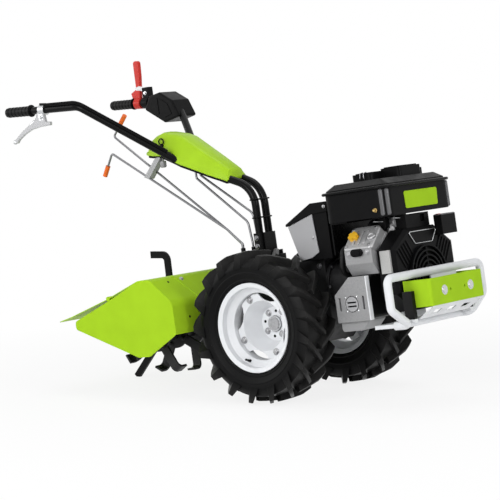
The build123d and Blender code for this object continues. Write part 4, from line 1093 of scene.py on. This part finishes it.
def grip_ribs():
    """Ribs and an inner flange on each grip."""
    shape = bmesh.new()
    rib = grip_ring(1.8, 6, 4.5)
    flange = grip_ring(6, 3.5, 2.5)
    for side in SIDES:
        mirror = Vector((1, side, 1))
        end = HANDLE_END * mirror
        along = (HANDLE_BEND * mirror - end).normalized()
        for index in range(GRIP_RIBS):
            lathe(shape, rib, end + along * (6 + GRIP_RIB_STEP * index), along, steps=32)
        lathe(shape, flange, end + along * (GRIP_LENGTH - 5), along, steps=32)
    new_piece("grip_ribs", shape, "grip_rubber", "handlebar", edge=0.6)


def lever_pivots():
    """The ball end and pivot bolts of the right lever, and the bolts of the left perch."""
    shape = bmesh.new()
    ball(shape, (-1122, -306, 839), 9.5)
    bolt(shape, (-950, -314, 917), -LEFT, 13)
    bolt(shape, (-950, -298, 917), LEFT, 13)
    bolt(shape, (-930, 290, 986), -LEFT, 12)
    bolt(shape, (-930, 322, 986), LEFT, 12)
    new_piece("lever_pivots", shape, "bare_steel", "handlebar", edge=0.4)


def throttle_lever():
    """The small white lever on the left perch."""
    shape = bmesh.new()
    upper = [(-991, 1017), (-966, 1021), (-937, 1004), (-921, 984)]
    lower = [(-939, 990), (-962, 1001), (-985, 1004)]
    slab(shape, rounded(on_side(upper + lower, 296), 3), LEFT * 12)
    new_piece("throttle_lever", shape, "white_paint", "handlebar", edge=1.5)


def lever_blade():
    """The flat cast blade of the right lever, with its perch."""
    shape = bmesh.new()
    perch = [(-971, 939), (-935, 933), (-929, 897), (-903, 893), (-905, 879)]
    lower = [(-964, 880), (-1012, 876), (-1055, 863), (-1091, 846), (-1107, 832)]
    upper = [(-1128, 838), (-1096, 860), (-1060, 880), (-998, 905), (-980, 919)]
    slab(shape, on_side(perch + lower + upper, -313), LEFT * 14)
    new_piece("lever_blade", shape, "cast_alloy", "handlebar", edge=2.0)


def right_trigger():
    """The small black trigger over the right lever."""
    shape = bmesh.new()
    outline = [(-952, 974), (-921, 970), (-912, 957), (-924, 949), (-946, 953)]
    slab(shape, rounded(on_side(outline, -312), 3), LEFT * 12)
    new_piece("right_trigger", shape, "black_plastic", "handlebar", edge=1.2)


def control_panel():
    """Two raised halves with an upright slit between them on the inner face of the control box."""
    shape = bmesh.new()
    rear = [(-838, 908), (-818, 944), (-785, 949), (-785, 876)]
    front = [(-779, 948), (-734, 918), (-716, 872), (-758, 862), (-779, 872)]
    for outline in (rear, front):
        slab(shape, rounded(on_side(outline, CONTROL_BOX_FACE), 4), LEFT * -2.2)
    new_piece("control_panel", shape, "black_plastic", "handlebar", edge=0.8)


def console_section(x, foot, crown, low, high):
    """The console's section at one x, from its right lower edge over the top to its left one."""
    wall = [(-foot, low), (1 - foot, low + 8)]
    shoulder = [(-crown - 5, high - 18), (-crown + 2, high - 7), (12 - crown, high - 2)]
    right = wall + shoulder
    left = [(-y, z) for y, z in right[::-1]]
    return on_front(right + [(0, high)] + left, x)


def console_shell():
    """A moulded cover with sloping sides over the tubes, in place of the narrower CAD cover."""
    shape = bmesh.new()
    rows = []
    for station in CONSOLE_STATIONS:
        rows.append([shape.verts.new(point) for point in console_section(*station)])
    for before, after in zip(rows, rows[1:]):
        for index in range(len(before) - 1):
            shape.faces.new((before[index], before[index + 1], after[index + 1], after[index]))
    shape.faces.new(rows[0])
    shape.faces.new(rows[-1])
    piece = new_piece("console_shell", shape, "lime_plastic", "handlebar", sharp=32)
    wall = piece.modifiers.new("wall", "SOLIDIFY")
    wall.thickness = CONSOLE_WALL * MILLIMETRE
    wall.offset = -1
    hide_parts("console_cover")


def console_edge():
    """The black lower edge along each side of the console."""
    shape = bmesh.new()
    line = [(x, foot + 0.5, low) for x, foot, crown, low, high in CONSOLE_STATIONS[1:-1]]
    for side in SIDES:
        lower = [(x, side * y, z - 7) for x, y, z in line]
        upper = [(x, side * y, z + 2) for x, y, z in line]
        slab(shape, lower + upper[::-1], LEFT * side * -5)
    new_piece("console_edge", shape, "black_plastic", "handlebar", edge=1.0, sharp=60)


def console_clip():
    """A clip ring on the console's right side, with its stud."""
    shape = bmesh.new()
    wire_ring(shape, (-552, -66, 750), LEFT, 12, 2.8, 10)
    lathe(shape, [(8, 0), (8, 14), (6.5, 16)], (-552, -54, 734), -LEFT)
    new_piece("console_clip", shape, "black_plastic", "handlebar", edge=0.4)


def console_knob():
    """The small knob under the console."""
    shape = bmesh.new()
    knob = [(4, 0), (4, 18), (12, 20), (13, 24), (13, 40), (10, 45), (4, 46)]
    lathe(shape, knob, (-566, -56, 694), -UP)
    new_piece("console_knob", shape, "muffler_grey", "handlebar", edge=0.6)


def socket_bolts():
    """Clamp bolts on the column's sockets."""
    heads = [(COLUMN_X, SOCKET_SIDE, z, 15) for z in SOCKET_BOLTS]
    side_bolts("socket_bolts", "rod_steel", heads, "handlebar")


def column_bands():
    """Bands round both tubes of the column."""
    shape = bmesh.new()
    corners = rectangle((COLUMN_X - 18, -46), (COLUMN_X + 18, 46))
    for z in COLUMN_BANDS:
        sweep(shape, rounded(on_top(corners, z), 17), 3.0, UP, closed=True, sides=8)
    new_piece("column_bands", shape, "black_plastic", "handlebar")


def controls():
    grip_ribs()
    lever_pivots()
    throttle_lever()
    lever_blade()
    right_trigger()
    control_panel()
    console_shell()
    console_edge()
    console_clip()
    console_knob()
    socket_bolts()
    column_bands()


# Tiller


def hood_beads():
    """A pressed bead along each seam of the hood, from the front's foot to the ridge."""
    shape = bmesh.new()
    front = HOOD_FRONT + 0.5
    for side in SIDES:
        low, high = side * HOOD_SEAM, side * (HOOD_SEAM + HOOD_SEAM_LEAN)
        line = [(front, low, 12), (front, low, HOOD_FRONT_TOP), (HOOD_RIDGE, high, HOOD_TOP)]
        sweep(shape, rounded(line, 12, closed=False), 2.4, LEFT, sides=8)
    new_piece("hood_beads", shape, "lime_paint")


def hood_bolts():
    """A bolt beside each seam, on the hood's slope."""
    shape = bmesh.new()
    for side in SIDES:
        bolt(shape, Vector((-393, side * 236, 208)) + HOOD_SLOPE, HOOD_SLOPE, 12)
    new_piece("hood_bolts", shape, "bolt_grey", edge=0.4)


def hood_holes():
    """Small holes in the slope and the front of each hood wing, drawn as black plugs: painted shade for the
    openings.
    """
    shape = bmesh.new()
    hole = [(5, -2), (5, 0.6), (4.2, 1.1)]
    for side in SIDES:
        lathe(shape, hole, Vector((-389, side * 316, 204)) + HOOD_SLOPE * 1.5, HOOD_SLOPE)
        lathe(shape, hole, (HOOD_FRONT, side * 311, 66), FORWARD)
    new_piece("hood_holes", shape, "hole_shade_black")


def tine_bolts():
    """A bolt head on both faces of each blade's root."""
    shape = bmesh.new()
    for side in SIDES:
        outward = LEFT * side
        for row, place in enumerate(TINE_FLANGES):
            for index in range(TINES_ON_FLANGE):
                angle = radians(360 / TINES_ON_FLANGE * index + TINE_STAGGER * row)
                root = ROTOR + Vector((sin(angle), 0, cos(angle))) * TINE_BOLT_RADIUS
                bolt(shape, root + outward * (place + TINE_FACE), outward, 15)
                bolt(shape, root + outward * (place - TINE_FACE), -outward, 15)
    new_piece("tine_bolts", shape, "blade_steel", "rotor", edge=0.4)


def spur_pin():
    """The pin that holds the spur in its socket, with a pull ring."""
    shape = bmesh.new()
    lathe(shape, [(5, -24), (6, -22), (6, 22), (9, 22), (9, 26), (7, 28)], SPUR_PIN, -LEFT)
    wire_ring(shape, SPUR_PIN - LEFT * 26 - UP * 11, FORWARD, 11, 1.5, 8)
    new_piece("spur_pin", shape, "bare_steel", edge=0.3)


def tiller():
    hood_beads()
    hood_bolts()
    hood_holes()
    tine_bolts()
    spur_pin()


# Floor, light and camera


def seen_directly(tree):
    """1 for rays from the camera, from gloss and through glass, 0 for the light that falls on things."""
    path = tree.nodes.new("ShaderNodeLightPath")
    total = path.outputs["Is Camera Ray"]
    for kind in ("Is Glossy Ray", "Is Transmission Ray"):
        total = calculated(tree, "MAXIMUM", total, path.outputs[kind])
    return total


def blended(tree, factor, first, second):
    """A shader between two others."""
    node = tree.nodes.new("ShaderNodeMixShader")
    tree.links.new(factor, node.inputs[0])
    tree.links.new(first, node.inputs[1])
    tree.links.new(second, node.inputs[2])
    return node.outputs[0]


def floor_material():
    """A white floor that keeps the object's soft shadow near it and is plain white further out."""
    material = bpy.data.materials.new("floor_white")
    material.use_nodes = True
    tree = material.node_tree
    matt = tree.nodes["Principled BSDF"]
    matt.inputs["Base Color"].default_value = FLOOR_COLOUR
    matt.inputs["Roughness"].default_value = 0.9
    matt.inputs["Specular IOR Level"].default_value = 0.05
    glow = tree.nodes.new("ShaderNodeEmission")
    place = tree.nodes.new("ShaderNodeNewGeometry")
    distance = length(tree, place.outputs["Position"])
    share = ranged(tree, distance, NEAR_WHITE, 1.0, FLOOR_NEAR, FLOOR_CLEAR)
    shown = blended(tree, share, matt.outputs[0], glow.outputs[0])
    both = blended(tree, seen_directly(tree), matt.outputs[0], shown)
    tree.links.new(both, tree.nodes["Material Output"].inputs["Surface"])
    return material


def floor():
    """The plain floor, which isn't part of the object."""
    bpy.ops.mesh.primitive_plane_add(size=FLOOR_SIZE)
    plane = bpy.context.object
    plane.name = "floor"
    plane.data.materials.append(floor_material())


def world_light():
    """White where it is seen directly, and a softer grey sky as light."""
    world = bpy.data.worlds.new("studio")
    bpy.context.scene.world = world
    world.use_nodes = True
    tree = world.node_tree
    tone = mixed(tree, seen_directly(tree), SKY_GREY, (1, 1, 1))
    tree.links.new(tone, tree.nodes["Background"].inputs["Color"])


def softbox(name, place, aim, size, power):
    """A rectangular lamp at a place, turned to its aim."""
    light = bpy.data.lights.new(name, "AREA")
    light.shape = "RECTANGLE"
    light.size = size[0]
    light.size_y = size[1]
    light.energy = power
    lamp = bpy.data.objects.new(name, light)
    lamp.location = place
    lamp.rotation_euler = (Vector(aim) - Vector(place)).to_track_quat("-Z", "Y").to_euler()
    bpy.context.scene.collection.objects.link(lamp)


def lamps():
    softbox("key", place=(0.6, -4.4, 2.1), aim=(0, 0, 0.45), size=(2.4, 1.8), power=100)
    softbox("side", place=(-3.6, -2.4, 1.8), aim=(0, 0, 0.4), size=(1.6, 1.8), power=33)
    softbox("front", place=(4.4, -0.4, 1.9), aim=(0, 0, 0.45), size=(1.6, 1.6), power=50)
    softbox("top", place=(0, 0.4, 4.2), aim=(0, 0, 0), size=(2.6, 1.6), power=36)


def camera():
    """The camera at the photograph's place."""
    lens = bpy.data.cameras.new("camera")
    lens.lens = CAMERA_LENS
    lens.sensor_width = SENSOR_WIDTH
    lens.clip_end = 100.0
    body = bpy.data.objects.new("camera", lens)
    look = (CAMERA_AIM - CAMERA_PLACE).to_track_quat("-Z", "Y").to_matrix().to_4x4()
    body.matrix_world = Matrix.Translation(CAMERA_PLACE) @ look @ Matrix.Rotation(CAMERA_ROLL, 4, "Z")
    bpy.context.scene.collection.objects.link(body)
    bpy.context.scene.camera = body


dress_cad()
wheels()
engine()
tank_and_front()
controls()
tiller()
floor()
world_light()
lamps()
camera()
bpy.context.scene.view_settings.view_transform = "Standard"
